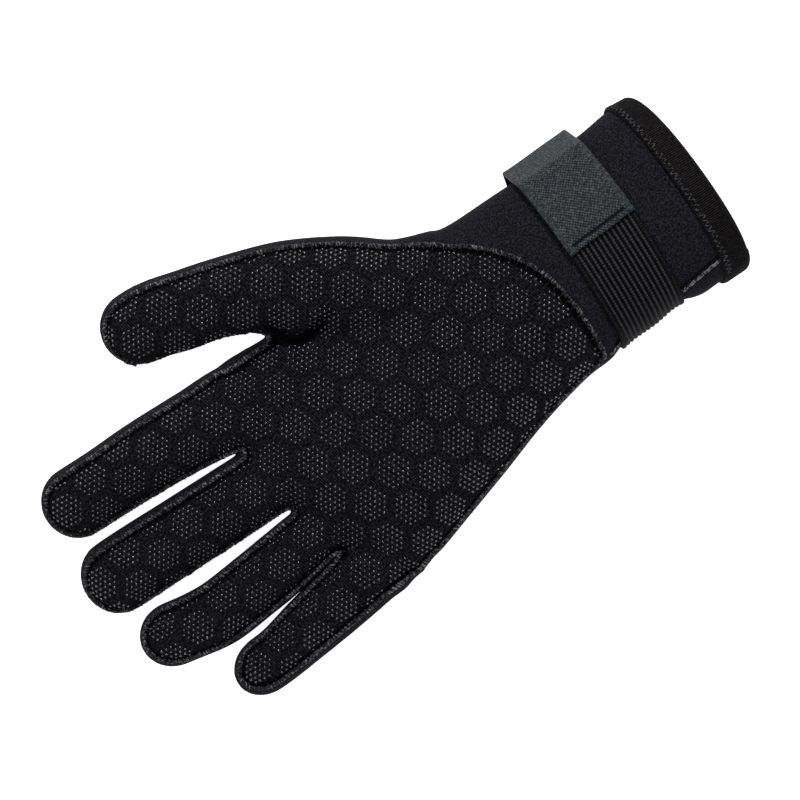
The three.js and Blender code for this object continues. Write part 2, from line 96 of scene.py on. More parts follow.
# along, width, depth, centre, hem, lift: shares of the cuff's own sizes, from the hem up
CUFF_ROWS = (
    (0.0, 1.0, 1.0, 0.13, 1.0, HEM_OUT / STRAP_OUT + 0.03),
    (0.15, 1.005, 1.0, 0.132, 0.6, 0.55),
    (0.31, 0.983, 0.985, 0.125, 0.2, 0.97),
    (0.37, 0.955, 0.98, 0.134, 0.1, 1.0),
    (0.58, 0.955, 0.98, 0.125, 0.0, 1.0),
    (0.8, 0.965, 0.98, 0.112, 0.0, 1.0),
    (0.87, 0.99, 0.985, 0.1, 0.0, 1.0),
    (1.0, 1.0, 0.97, 0.095, 0.0, 0.7),
)
# along, cuff, width, depth, centre, slant, bow, end: shares of the palm's, from the wrist up
PALM_ROWS = (
    (0.12, 0.62, 0.82, 1.15, 0.03, 0.0, 0.0, 1),
    (0.245, 0.25, 0.865, 1.085, 0.033, 0.0, 0.0, 1),
    (0.37, 0.05, 0.905, 1.07, 0.018, 0.0, 0.0, 1),
    (0.533, 0.0, 0.96, 1.02, -0.012, 0.0, 0.0, 1),
    (0.69, 0.0, 1.015, 0.955, -0.043, 0.02, 0.005, 1),
    (0.78, 0.0, 1.035, 0.87, -0.058, 0.075, 0.03, 1),
    (0.84, 0.0, 1.025, 0.76, -0.062, 0.13, 0.06, 0.98),
    (0.875, 0.0, 1.01, 0.7, -0.062, 0.16, 0.08, 0.88),
    (0.893, 0.0, 1.015, 0.68, -0.063, 0.175, 0.09, 0.68),
    (0.9, 0.0, 1.0, 0.67, -0.063, 0.18, 0.094, 0.42),
)
# rows: along, sway, width, depth as shares of the finger's own sizes; seam: inset on its pinky and
# thumb sides
LIMBS = {
    "index": {
        "root": (30.5, 56.49), "length": 77.5, "width": 28.6,
        "lean": 0.035, "seam": (0.6, 3.5),
        "rows": ((-0.42, -0.06, 0.78, 0.85), (0, 0, 1.02, 1.03), (0.18, 0.045, 1.02, 1.02),
                 (0.44, 0.06, 0.99, 1.0), (0.68, 0.035, 0.955, 0.97)),
    },
    "middle": {
        "root": (2.2, 56.85), "length": 79.6, "width": 28.4,
        "lean": 0.0, "seam": (0.6, 3.5),
        "rows": ((-0.42, 0, 0.8, 0.85), (0, 0, 0.96, 1.03), (0.25, 0, 0.98, 1.02),
                 (0.5, 0.005, 0.99, 1.0), (0.72, 0.01, 1.0, 0.98)),
    },
    "ring": {
        "root": (-24.3, 52.09), "length": 78, "width": 25,
        "lean": -0.008, "seam": (2, 2),
        "rows": ((-0.4, 0, 0.8, 0.85), (0, 0, 0.93, 1.0), (0.23, -0.1, 1.0, 0.98),
                 (0.42, -0.16, 1.0, 0.96), (0.62, -0.2, 1.0, 0.94), (0.77, -0.13, 0.97, 0.93)),
    },
    "pinky": {
        "root": (-45.8, 43.55), "length": 65, "width": 24,
        "lean": -0.162, "seam": (3.5, 1.6),
        "rows": ((-0.45, 0.16, 0.74, 0.8), (0, -0.03, 1.1, 0.96), (0.26, -0.06, 1.05, 0.93),
                 (0.5, -0.06, 0.985, 0.9), (0.74, -0.06, 0.9, 0.87)),
    },
    "thumb": {
        "root": (36, -21.96), "length": 109, "width": 27.4, "depth": 23, "height": 22,
        "lean": 0.399, "seam": (-0.6, 3.5),
        "rows": ((-0.18, 0.15, 0.95, 1.12), (0, 0, 1.23, 1.2), (0.187, 0.1, 1.38, 1.2),
                 (0.374, 0.24, 1.27, 1.12), (0.54, 0.29, 1.09, 1.02), (0.695, 0.26, 1.0, 1.0),
                 (0.85, 0.16, 0.99, 0.96)),
    },
}
PALM_SEAM = (1.6, 3.5)
# The wrist seam's points across and along the palm, from its pinky side up to the thumb
WRIST_SEAM = ((-60, -69.8), (-40, -69.8), (-6, -69.5), (14, -64.4), (30, -52.5), (45, -32.7),
              (57, -17.5), (66, -3.0), (78, 16.0), (92, 40.0))

STEP = 1.2  # side of a mesh square of the neoprene, before the seams are cut
SKIN_ROUNDS, SEAM_ROUNDS = 7, 10  # how often the joined skin and the seam are evened out
SEAM_CORNER = 3.0  # how round the seam turns at the wrist
HEM_CUT = 1.1  # the skin ends so far inside the hem, under its binding
NEAR_CUT = 0.22  # a point within this share of an edge from the seam is moved onto it
GROOVE_DEPTH, GROOVE_WIDTH, GROOVE_SHIFT = 0.8, 1.2, 0.35  # drawn in along the palm's seam
SIDE_SEAM = ((-28, -71.5), (-25, -80), (-22.3, -107), (-20, -126), (-19.5, -130))
# Where the outline is fuller or slimmer than the limbs, in plan: middle, reach, way out, amount
OUTLINE_PUSHES = (
    ((-56.2, 34.6), 6.5, (-0.98, -0.2), 2.0),  # the palm's edge runs straight on into the pinky's
    ((-55.0, 23.5), 5.0, (-0.98, -0.2), -0.8),
    ((45.5, 49.5), 14.0, (1, 0), 2.6),  # the index finger's outer side is straight
    ((57.3, 55.1), 12.0, (-0.97, 0.26), 2.2),  # and the thumb's inner side is full
)
PUSH_STOP = 5  # a push doesn't reach what lies this far beyond its middle, across the gap
# Lines pressed into the front, in plan, with their depth and half width
PRESSED_LINES = (
    (((50, 27), (44.7, 24.9), (38.2, 20.4), (37, 14), (37.6, 9), (40.5, 3)), 1.9, 1.6),
    (tuple((x + 1, y) for x, y in SIDE_SEAM), 0.8, 0.8),
)


# ------ sections

def wave(turns):
    """A wave that is 1 at each whole number and 0 halfway between"""
    return 0.5 + 0.5 * np.cos(2 * math.pi * turns)


def bell(away):
    """1 in the middle, falling off smoothly to both sides"""
    return np.exp(-(away**2))


def ease(t):
    """From 0 to 1 with a soft start and end"""
    return t * t * (3 - 2 * t)


def smooth(stations, values, at):
    """Values given at stations, read off at other places along a smooth line through them"""
    x, y = np.asarray(stations, float), np.asarray(values, float)
    slope = np.gradient(y, x)
    i = np.clip(np.searchsorted(x, at) - 1, 0, len(x) - 2)
    h = x[i + 1] - x[i]
    t = (at - x[i]) / h
    inside = np.clip(t, 0, 1)
    line = (
        (1 + 2 * inside) * (1 - inside) ** 2 * y[i]
        + inside * (1 - inside) ** 2 * h * slope[i]
        + inside**2 * (3 - 2 * inside) * y[i + 1]
        + inside**2 * (inside - 1) * h * slope[i + 1]
    )
    return line + (t - inside) * h * np.where(t < 0, slope[i], slope[i + 1])


def body_rows():
    """The cuff's and the palm's rows as one table, in millimetres"""
    rows = []
    for along, width, depth, centre, hem, lift in CUFF_ROWS:
        rows.append(dict(
            station=along * CUFF_LENGTH, x=centre * CUFF_WIDTH,
            y=WRIST_Y - (1 - along) * CUFF_LENGTH, slant=hem * HEM_SLANT,
            tilt=hem * HEM_TILT * 2 / CUFF_DEPTH, bow=0, width=width * CUFF_WIDTH,
            depth=depth * CUFF_DEPTH, floor=lift * STRAP_OUT, rest=CUFF_REST, end=1,
        ))
    wrist = rows[-1]
    for along, cuff, width, depth, centre, slant, bow, end in PALM_ROWS:
        rows.append(dict(
            station=CUFF_LENGTH + along * PALM_LENGTH,
            x=cuff * wrist["x"] + (1 - cuff) * centre * PALM_WIDTH,
            y=WRIST_Y + along * PALM_LENGTH, slant=slant * PALM_LENGTH, tilt=0,
            bow=bow * PALM_LENGTH,
            width=cuff * wrist["width"] + (1 - cuff) * width * PALM_WIDTH,
            depth=cuff * wrist["depth"] + (1 - cuff) * depth * PALM_DEPTH,
            floor=cuff**2 * wrist["floor"], rest=PALM_REST, end=end,
        ))
    return {key: np.array([row[key] for row in rows], float) for key in rows[0]}


BODY = body_rows()


def body_sections(at, out=0.0):
    """Sections of the cuff and palm at distances from the hem, made larger all round by out"""
    r = {key: smooth(BODY["station"], BODY[key], at) for key in BODY}
    r["end"] = np.minimum(r["end"], 1)
    r["tilt"] = np.maximum(r["tilt"], 0)
    half_depth = (r["depth"] + r["rest"]) / 2
    half = np.hypot(r["width"], r["slant"]) / 2
    return dict(
        x=r["x"], y=r["y"], z=r["floor"] + r["depth"] - half_depth,
        ax=r["width"] / 2 / half, ay=r["slant"] / 2 / half, bow=r["bow"], tilt=r["tilt"],
        half_width=half + out, half_depth=(half_depth + out) * r["end"],
        full_width=half + out, full_depth=half_depth + out,
        floor=r["floor"] - out, power=BODY_POWER,
    )


def limb_sections(limb):
    """Sections of a finger or the thumb, close together, with its rounded tip"""
    along, sway, width, depth = (np.array(c, float) for c in zip(*limb["rows"]))
    length = limb["length"]
    start = 1 - FINGERTIP / length
    along, sway = np.append(along, start), np.append(sway, sway[-1] * 0.7)
    width, depth = np.append(width, width[-1]), np.append(depth, depth[-1])
    straight = np.arange(along[0], start, 1 / length)
    turn = np.radians(np.arange(0, 89, 4.0))
    at = np.concatenate([straight, start + FINGERTIP / length * np.sin(turn)])
    shrink = np.concatenate([np.ones(len(straight)), np.cos(turn)])
    held = np.minimum(at, start)
    ease = np.concatenate([np.ones(len(straight)), 1 - np.sin(turn)])
    sway = smooth(along, sway, held) * ease
    width = smooth(along, width, held) * limb["width"]
    depth = smooth(along, depth, held) * limb.get("depth", FINGER_DEPTH)
    ahead = np.array((limb["lean"], 1)) / math.hypot(limb["lean"], 1)
    side = np.array((ahead[1], -ahead[0]))
    middle = (
        np.array(limb["root"]) + np.outer(at * length, ahead) + np.outer(sway * limb["width"], side)
    )
    run = unit(np.gradient(middle, axis=0))
    height = limb.get("height")
    half_depth = (depth + (0 if height else FINGER_REST)) / 2
    return dict(
        x=middle[:, 0], y=middle[:, 1],
        z=np.full(len(at), float(height)) if height else depth - half_depth,
        ax=run[:, 1], ay=-run[:, 0], bow=np.zeros(len(at)), tilt=np.zeros(len(at)),
        half_width=width / 2 * shrink, half_depth=half_depth * shrink**0.8,
        full_width=width / 2, full_depth=half_depth, floor=np.zeros(len(at)),
        power=LIMB_POWER, tip=np.clip((at - start) / (1 - start), 0, 1), along=at * length,
    )


def cuff_section(distance, out=0.0):
    """The cuff's one section at a distance from the hem"""
    found = body_sections(np.array([float(distance)]), out)
    return {k: v if k == "power" else float(v[0]) for k, v in found.items()}


def section_points(s, turns):
    """Points round each section: turn 0 is the thumb side, a quarter turn the palm"""
    u = np.sign(np.cos(turns)) * np.abs(np.cos(turns)) ** (2 / s["power"])
    w = np.sign(np.sin(turns)) * np.abs(np.sin(turns)) ** (2 / s["power"])
    col = {k: np.asarray(v, float)[..., None] for k, v in s.items() if k != "power"}
    out = col["half_width"] * u
    z = np.maximum(col["floor"], col["z"] + col["half_depth"] * w)
    ahead = col["bow"] * (1 - u * u) - col["tilt"] * (z - col["z"])
    return np.stack(
        [
            col["x"] + col["ax"] * out - col["ay"] * ahead,
            col["y"] + col["ay"] * out + col["ax"] * ahead,
            z,
        ],
        axis=-1,
    )


# ------ meshes

def grid_faces(rows, columns, round_rows=False, round_columns=False, first=0):
    """Squares between neighbouring points of a grid, which may close on itself either way"""
    r = np.arange(rows if round_rows else rows - 1)[:, None]
    c = np.arange(columns if round_columns else columns - 1)[None, :]
    r2, c2 = (r + 1) % rows, (c + 1) % columns
    quads = np.stack([r * columns + c, r2 * columns + c, r2 * columns + c2, r * columns + c2], -1)
    return quads.reshape(-1, 4) + first


def unit(vectors):
    """The same directions, one long"""
    return vectors / np.linalg.norm(vectors, axis=-1, keepdims=True)


def read(items, name, size=3, kind=float):
    """A property of all the points, edges or corners of a mesh"""
    values = np.empty(len(items) * size, kind)
    items.foreach_get(name, values)
    return values.reshape(-1, size)


def make_piece(name, points, faces, material=None, slot=None):
    """A mesh object from points in millimetres"""
    mesh = bpy.data.meshes.new(name)
    mesh.from_pydata(np.asarray(points, float) * MM, [], [list(map(int, f)) for f in faces])
    mesh.update()
    mesh.polygons.foreach_set("use_smooth", np.ones(len(mesh.polygons), bool))
    piece = placed(name, mesh)
    if material:
        mesh.materials.append(material)
    if slot:
        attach(piece, "root")
    return piece


def points_of(mesh):
    return read(mesh.vertices, "co") / MM


def edges_of(mesh):
    return read(mesh.edges, "vertices", 2, int)


def relaxed(values, edges, times):
    """Values at the points of a mesh, each drawn halfway to the mean of its neighbours'"""
    flat = values.reshape(len(values), -1)
    count = np.maximum(np.bincount(edges.ravel(), minlength=len(values)), 1)[:, None]
    a, b = edges.T
    for _ in range(times):
        total = np.stack([
            np.bincount(a, column[b], len(flat)) + np.bincount(b, column[a], len(flat))
            for column in flat.T
        ], 1)
        flat = flat + 0.5 * (total / count - flat)
    return flat.reshape(values.shape)


def grid_normals(grid):
    """Unit normals of a grid of points"""
    across = np.gradient(grid, axis=0)
    along = np.gradient(grid, axis=1)
    normal = np.cross(across, along)
    return normal / np.maximum(np.linalg.norm(normal, axis=-1, keepdims=True), 1e-9)


def slab(inner, outer, round_rows=False):
    """Points and faces of a closed band between two grids of the same shape"""
    rows, columns = inner.shape[:2]
    count, last = rows * columns, columns - 1
    points = np.concatenate([inner.reshape(-1, 3), outer.reshape(-1, 3)])
    r, c = np.arange(rows if round_rows else rows - 1) * columns, np.arange(last)
    r2 = (r + columns) % count
    walls = [(r, r2), (r2 + last, r + last)]
    if not round_rows:
        end = count - columns + c
        walls += [(c + 1, c), (end, end + 1)]
    return points, np.concatenate([
        grid_faces(rows, columns, round_rows)[:, ::-1],
        grid_faces(rows, columns, round_rows, first=count),
        *[np.stack([a, b, b + count, a + count], -1) for a, b in walls],
    ])


def lengths_along(line):
    """Distance of each point of a line from its first"""
    steps = np.linalg.norm(np.diff(line, axis=0), axis=1)
    return np.concatenate([[0], np.cumsum(steps)])


def read_off(line, at, places):
    """The line's points at given distances along it"""
    return np.stack([np.interp(places, at, column) for column in line.T], -1)


def respaced(line, count):
    """The line with so many points at even distances"""
    at = lengths_along(line)
    return read_off(line, at, np.linspace(0, at[-1], count))


def drawn_out(line, width):
    """The line with its small zigzags drawn out over so many points each way. It loses one point
    more than that at each end."""
    kernel = np.hanning(2 * width + 3)
    kernel /= kernel.sum()
    return np.stack([np.convolve(column, kernel, "valid") for column in line.T], -1)


# ------ the glove's whole surface

# How far each slit is opened while the forms are joined, so that it stays one, and over what run
SPREAD, SPREAD_RUN = 4, 14
CROTCHES = {"middle": 55, "ring": 52, "pinky": 46}  # Y of each finger's crotch on its thumb side


def finger_shifts(y):
    """How far each finger is moved to open the slits beside it, at given Y"""
    shifts, total = {"index": np.zeros(len(y))}, 0
    for name, crotch in CROTCHES.items():
        t = np.clip((y - crotch) / SPREAD_RUN, 0, 1)
        total = total - SPREAD * ease(t)
        shifts[name] = total
    return shifts


def slit_shift(points, opened):
    """The same for any point of the glove, drawn evenly across the slits"""
    y = points[:, 1]
    shifts = finger_shifts(y)
    knots, values = [], []
    for name in ("pinky", "ring", "middle", "index"):
        s = limb_sections(LIMBS[name])
        x = np.interp(y, s["y"], s["x"]) + (shifts[name] if opened else 0)
        half = np.interp(y, s["y"], s["full_width"])
        knots += [x - half, x + half]
        values += [shifts[name], shifts[name]]
    knots = np.maximum.accumulate(knots, axis=0) + 0.01 * np.arange(8)[:, None]
    shift = values[0].copy()
    for k in range(7):
        share = np.clip((points[:, 0] - knots[k]) / (knots[k + 1] - knots[k]), 0, 1)
        shift += share * (values[k + 1] - values[k])
    return shift


def whole_form():
    """Cuff, palm, fingers and thumb joined into one skin"""
    turns = np.radians(np.arange(0, 360, 2.5))
    count = len(turns)
    last = BODY["station"][-1]
    forms = {"body": body_sections(np.arange(-7, last + 0.01, 1.0))}
    forms.update({name: limb_sections(limb) for name, limb in LIMBS.items()})
    points, faces, first = [], [], 0
    for name, s in forms.items():
        rings = section_points(s, turns)
        rows = len(rings)
        ring_points = rings.reshape(-1, 3)
        if name == "body":
            ring_points[:, 0] += slit_shift(ring_points, False)
        elif name != "thumb":
            ring_points[:, 0] += finger_shifts(ring_points[:, 1])[name]
        points.append(ring_points)
        faces += grid_faces(rows, count, round_columns=True, first=first)[:, ::-1].tolist()
        faces.append(list(range(first, first + count))[::-1])
        end = first + (rows - 1) * count
        faces.append(list(range(end, end + count)))
        first += rows * count
    raw = make_piece("raw_form", np.concatenate(points), faces)
    remesh = raw.modifiers.new("one_skin", "REMESH")
    remesh.mode = "VOXEL"
    remesh.voxel_size = STEP * MM
    remesh.use_smooth_shade = True
    skin = bpy.data.meshes.new_from_object(
        raw.evaluated_get(bpy.context.evaluated_depsgraph_get())
    )
    bpy.data.objects.remove(raw)
    joined = points_of(skin)
    joined[:, 0] -= slit_shift(joined, True)
    skin.vertices.foreach_set("co", (joined * MM).ravel())
    return skin


# ------ where the panels meet

def body_place(points):
    """Each point's section of the cuff and palm, and how far out from its middle it lies"""
    station = points[:, 1] - WRIST_Y + CUFF_LENGTH
    last = BODY["station"][-1]
    for _ in range(5):
        s = body_sections(np.clip(station, -8, last))
        out = (points[:, 0] - s["x"]) / s["ax"]
        u = np.clip(out / s["half_width"], -1, 1)
        shift = s["ay"] * out + s["bow"] * (1 - u * u)
        station = points[:, 1] - shift - WRIST_Y + CUFF_LENGTH
    rows = [CUFF_LENGTH + row[0] * PALM_LENGTH for row in PALM_ROWS[-4:]]
    s["tip"] = np.interp(station, rows, (0, 1 / 3, 2 / 3, 1))
    return s, out, np.maximum(station - last, 0)


def limb_place(limb, points):
    s = limb_sections(limb)
    ahead = np.array((limb["lean"], 1)) / math.hypot(limb["lean"], 1)
    at = (points[:, :2] - np.array(limb["root"])) @ ahead
    near = {
        k: np.interp(at, s["along"], v)
        for k, v in s.items() if k not in ("power", "along")
    }
    near["power"] = LIMB_POWER
    out = (points[:, 0] - near["x"]) * near["ax"] + (points[:, 1] - near["y"]) * near["ay"]
    over = np.maximum(at - s["along"][-1], 0) + np.maximum(s["along"][0] - at, 0)
    return near, out, over


def seam_climb(s, inset):
    """How steeply the seam's trough climbs to show so far inside the outline"""
    inset = inset + (SEAM_TIP - inset) * s["tip"]
    share = np.abs(inset) / s["full_width"]
    height = s["full_depth"] * (1 - (1 - share) ** s["power"]) ** (1 / s["power"])
    return np.sign(inset) * height / (s["full_width"] * (1 - share))


BLEND = 2.0  # how far the seams of neighbouring forms run into each other


def over_seam(points):
    """How far each point of the skin lies on the palm's side of the seam, in millimetres"""
    places = [(*body_place(points), PALM_SEAM)]
    places += [(*limb_place(limb, points), limb["seam"]) for limb in LIMBS.values()]
    height, away = [], []
    for s, out, beyond, (pinky, thumb) in places:
        thumb_climb, pinky_climb = seam_climb(s, thumb), seam_climb(s, pinky)
        climb = np.where(out > 0, thumb_climb, pinky_climb)
        rise = s["tip"] * s["full_width"] * (thumb_climb + pinky_climb) / 2
        share = np.minimum(np.abs(out) / np.maximum(s["half_width"], 1), 1)
        trough = s["z"] + rise + (s["full_width"] * climb - rise) * share
        height.append((points[:, 2] - trough) / np.hypot(1, climb))
        wide, deep = np.maximum(s["half_width"], 2), np.maximum(s["half_depth"], 2)
        size = np.abs(out / wide) ** s["power"]
        size += np.abs((points[:, 2] - s["z"]) / deep) ** s["power"]
        off = (size ** (1 / s["power"]) - 1) * np.minimum(wide, deep)
        away.append(np.maximum(off, 0) + beyond)
    height, away = np.array(height), np.array(away)
    weight = bell((away - away.min(axis=0)) / BLEND)
    return (height * weight).sum(axis=0) / weight.sum(axis=0)


def wrist_line():
    across, along = np.array(WRIST_SEAM, float).T
    at = np.arange(len(across))
    fine = np.linspace(0, at[-1], 90)
    return np.stack([smooth(at, across, fine), smooth(at, along, fine)], -1)


def from_line(points, line):
    """Each point's distance from a line in plan, more than 0 on its left, and how far along the
    line it is, from 0 to 1"""
    line = np.asarray(line, float)
    run = np.diff(line, axis=0)
    best, sign, along = np.full(len(points), 1e9), np.ones(len(points)), np.zeros(len(points))
    for k, (start, d) in enumerate(zip(line, run)):
        rel = points[:, :2] - start
        t = np.clip(rel @ d / (d @ d), 0, 1)
        off = rel - t[:, None] * d
        distance = np.hypot(off[:, 0], off[:, 1])
        nearer = distance < best
        best = np.where(nearer, distance, best)
        sign = np.where(nearer, np.sign(d[0] * rel[:, 1] - d[1] * rel[:, 0]), sign)
        along = np.where(nearer, (k + t) / len(run), along)
    return best * sign, along


def lesser(a, b, round_off):
    """The smaller of two fields, rounded where they cross"""
    h = np.clip(0.5 + 0.5 * (b - a) / round_off, 0, 1)
    return b + (a - b) * h - round_off * h * (1 - h)


def pressed_in(points, normals, over):
    """The skin with the seam's groove, the thumb's crease and the cuff's side seam pressed in, and
    a share from 0 to 1 of painted shade for each point in them, which follows their depth"""
    # The groove's profile sets both its depth and the painted shade in it
    groove_and_shade = bell((over - GROOVE_SHIFT) / GROOVE_WIDTH)
    depth = GROOVE_DEPTH * groove_and_shade
    front = np.clip(normals[:, 2] * 3, 0, 1)
    for line, most, wide in PRESSED_LINES:
        distance, along = from_line(points, line)
        fade = np.clip(np.minimum(along, 1 - along) * 5, 0, 1)
        share = fade * front * bell(distance / wide)
        depth += most * share
        # Each pressed line also gets painted shade, half as strong as its share
        groove_and_shade = np.maximum(groove_and_shade, 0.5 * share)
    return points - normals * depth[:, None], groove_and_shade


def cut_skin(skin):
    """The skin cut open at the hem and along the seam: its points, how much painted shade each gets
    in a groove or crease, its faces, and which of them are the palm's"""
    edges = edges_of(skin)
    points = relaxed(points_of(skin), edges, SKIN_ROUNDS)
    field = lesser(over_seam(points), from_line(points, wrist_line())[0], SEAM_CORNER)
    field = relaxed(field, edges, SEAM_ROUNDS)
    plan = points[:, :2].copy()
    for middle, reach, out, amount in OUTLINE_PUSHES:
        away = plan - middle
        share = amount * np.exp(-(away**2).sum(1) / reach**2) * (away @ out < PUSH_STOP)
        points[:, :2] += share[:, None] * out
    skin.vertices.foreach_set("co", (points * MM).ravel())
    bm = bmesh.new()
    bm.from_mesh(skin)
    over = bm.verts.layers.float.new("over_seam")
    for vert, value in zip(bm.verts, field):
        vert[over] = value
    hem = cuff_section(0)
    normal = Vector((0, 1, hem["tilt"])).normalized()
    middle = Vector((hem["x"], hem["y"], hem["z"])) + HEM_CUT * normal
    bmesh.ops.bisect_plane(
        bm, geom=bm.verts[:] + bm.edges[:] + bm.faces[:], plane_co=middle * MM,
        plane_no=normal, clear_inner=True,
    )
    for edge in bm.edges[:]:
        a, b = edge.verts
        if a[over] * b[over] >= 0:
            continue
        t = a[over] / (a[over] - b[over])
        near, share = (a, t) if t < 0.5 else (b, 1 - t)
        if share < NEAR_CUT:
            other = edge.other_vert(near)
            near.co = near.co.lerp(other.co, share)
            near[over] = 0
    for edge in bm.edges[:]:
        a, b = edge.verts
        if a[over] * b[over] < 0:
            t = a[over] / (a[over] - b[over])
            vert = bmesh.utils.edge_split(edge, a, t)[1]
            vert[over] = 0
    bmesh.ops.connect_verts(bm, verts=[v for v in bm.verts if v[over] == 0])
    bm.normal_update()
    bm.verts.index_update()
    points = np.array([v.co for v in bm.verts]) / MM
    normals = np.array([v.normal for v in bm.verts])
    field = np.array([v[over] for v in bm.verts])
    faces = [[v.index for v in f.verts] for f in bm.faces]
    side = np.array([sum(v[over] for v in f.verts) > 0 for f in bm.faces])
    bm.free()
    return *pressed_in(points, normals, field), faces, side


def seam_loops(faces, side):
    """The seam as closed loops of points: where the palm's faces meet the back's"""
    back = {e for f, palm in zip(faces, side) if not palm for e in zip(f, f[1:] + f[:1])}
    following = {
        a: b for f, palm in zip(faces, side) if palm
        for a, b in zip(f, f[1:] + f[:1]) if (b, a) in back
    }
    loops = []
    while following:
        start, at = next(iter(following.items()))
        loop = [start]
        del following[start]
        while at != start and at in following:
            loop.append(at)
            at = following.pop(at)
        loops.append(loop)
    return sorted(loops, key=len, reverse=True)


def part_of(points, faces, chosen):
    """The points and faces of one side alone"""
    kept = [f for f, c in zip(faces, chosen) if c]
    used = np.unique(np.concatenate(kept))
    new = np.full(len(points), -1)
    new[used] = np.arange(len(used))
    return used, [[int(new[i]) for i in f] for f in kept]


# ------ materials

def linear(colour):
    """An sRGB hex colour as linear red, green, blue and alpha"""
    parts = [int(colour[i:i + 2], 16) / 255 for i in (1, 3, 5)]
    return (*[c / 12.92 if c <= 0.04045 else ((c + 0.055) / 1.055) ** 2.4 for c in parts], 1)


def add(tree, kind, inputs=(), output=0, stops=(), **settings):
    """A node with its settings, its inputs set to values or linked, and a ramp's places and
    colours. Gives the output asked for."""
    made = tree.nodes.new("ShaderNode" + kind)
    for name, value in settings.items():
        setattr(made, name, value)
    for key, value in dict(inputs).items():
        if isinstance(value, bpy.types.NodeSocket):
            tree.links.new(value, made.inputs[key])
        else:
            made.inputs[key].default_value = value
    for k, (place, colour) in enumerate(stops):
        line = made.color_ramp.elements
        element = line[k] if k < len(line) else line.new(place)
        element.position, element.color = place, linear(colour)
    return made.outputs[output] if len(made.outputs) else None


def made_of(name, patterns, base, stops, bumps, roughness, ior, specular, more=(), turn=None):
    """A material. Its tone is the base and a share of each pattern, and the stops give the tone's
    colours. patterns has each one's share, kind, size in millimetres and other inputs, and a map is
    read off the mesh. bumps has the patterns that stand up, how high in millimetres and how
    strongly. With a turn the patterns lie on the panel's flat shape."""
    material = bpy.data.materials.new(name)
    material.use_nodes = True
    tree = material.node_tree
    tree.nodes.clear()
    if turn is None:
        place = add(tree, "TexCoord", output="Object")
    else:
        place = add(tree, "UVMap", uv_map="flat_pattern")
        place = add(tree, "Mapping", {"Vector": place, "Rotation": (0, 0, turn)})
    made, tone = {}, base
    for key, (share, kind, size, inputs) in patterns.items():
        if kind == "map":
            kept = add(tree, "UVMap", uv_map=key)
            made[key] = add(tree, "SeparateXYZ", {"Vector": kept}, "X")
        else:
            bands = math.pi / 10 if kind == "TexWave" else 1
            output = "Distance" if kind == "TexVoronoi" else "Fac"
            inputs = {"Vector": place, "Scale": bands / (size * MM), **inputs}
            made[key] = add(tree, kind, inputs, output)
        if share:
            tone = add(tree, "Math", {0: made[key], 1: share, 2: tone}, operation="MULTIPLY_ADD")
    surface = {
        "Base Color": add(tree, "ValToRGB", {"Fac": tone}, "Color", stops),
        "Roughness": roughness, "IOR": ior, "Specular IOR Level": specular, **dict(more),
    }
    for key, height, strength in bumps:
        bump = {"Height": made[key], "Distance": height * MM, "Strength": strength}
        if "Normal" in surface:
            bump["Normal"] = surface["Normal"]
        surface["Normal"] = add(tree, "Bump", bump)
    add(tree, "OutputMaterial", {"Surface": add(tree, "BsdfPrincipled", surface)})
    return material


FIBRE = ("TexNoise", 0.9, {"Detail": 3.0})


def thread_material(name, dark, light):
    """Spun polyester thread: its plies and stray fibre take the light unevenly, dark and light
    in turn"""
    return made_of(name, {"plies": (1.0, *FIBRE)}, 0.0, ((0.4, dark), (0.62, light)),
                   (("plies", 0.1, 0.8),), roughness=0.7, ior=1.54, specular=0.08)


def woven_material(name, relief_shade_share, fibre_share, stops, roughness, specular):
    """Woven tape: its raised yarns are painted lighter than the hollows between them, as painted
    shade in the hollows, and its fibre speckles both"""
    patterns = {"relief_and_shade": (relief_shade_share, "map", 0, {}), "fibre": (fibre_share, *FIBRE)}
    return made_of(name, patterns, 0.5 - 0.5 * (relief_shade_share + fibre_share), stops,
                   (("fibre", 0.1, 0.7),), roughness, ior=1.54, specular=specular)


RIB_TURN = math.radians(-105)  # lays the ribs 15 degrees off square to the fingers

# Nylon rib knit laminated to neoprene: a matt face with faint slanting ribs and a haze of fibre,
# with painted shade down in the seam's groove and the thumb's crease. Its 0.4 mm ribs
# are drawn at 0.8 mm, so that they show.
knit = made_of(
    "nylon_rib_knit",
    {"ribs": (0.2, "TexWave", 0.8, {"Distortion": 1.2, "Detail Scale": 2.0}),
     "fibre": (1.0, *FIBRE), "worn": (0.08, "TexNoise", 22, {"Detail": 3.0}),
     # the groove map darkens the colour as painted shade
     "groove_and_shade": (-0.5, "map", 0, {})},
    -0.14, ((0.34, "#020203"), (0.5, "#0f0f12"), (0.7, "#29292f")),
    (("ribs", 0.1, 0.4), ("fibre", 0.15, 0.6)),
    roughness=0.9, ior=1.53, specular=0.03, turn=RIB_TURN)
# Nylon jersey laminated to neoprene foam: soft, matt and slightly violet, with the speckle of its
# stitches, and painted shade along the palm's seam and in the cuff's side seam. Its 0.3 mm
# stitches are drawn at 0.6 mm, so that they show.
jersey = made_of(
    "nylon_jersey_on_neoprene",
    {"stitch": (0.3, "TexVoronoi", 0.6, {}), "fibre": (1.0, "TexNoise", 0.6, {"Detail": 2.0}),
     # the groove map darkens the colour as painted shade
     "groove_and_shade": (-0.3, "map", 0, {}), "soft": (0, "TexNoise", 4, {})},
    -0.12, ((0.3, "#09090b"), (0.5, "#151419"), (0.7, "#28272f")),
    (("stitch", 0.1, 0.5), ("soft", 0.2, 0.4)), roughness=0.85, ior=1.53, specular=0.03)
# Silicone printed in drops and cured: dark and smooth, with a small sharp highlight
silicone = made_of(
    "printed_silicone",
    {"tone": (1.0, "TexNoise", 4, {}), "grain": (0, "TexNoise", 0.4, {})},
    0.0, ((0.35, "#141417"), (0.65, "#2c2c31")), (("grain", 0.06, 0.6),),
    roughness=0.2, ior=1.42, specular=1.0, more={"Coat Weight": 1.0, "Coat Roughness": 0.12})
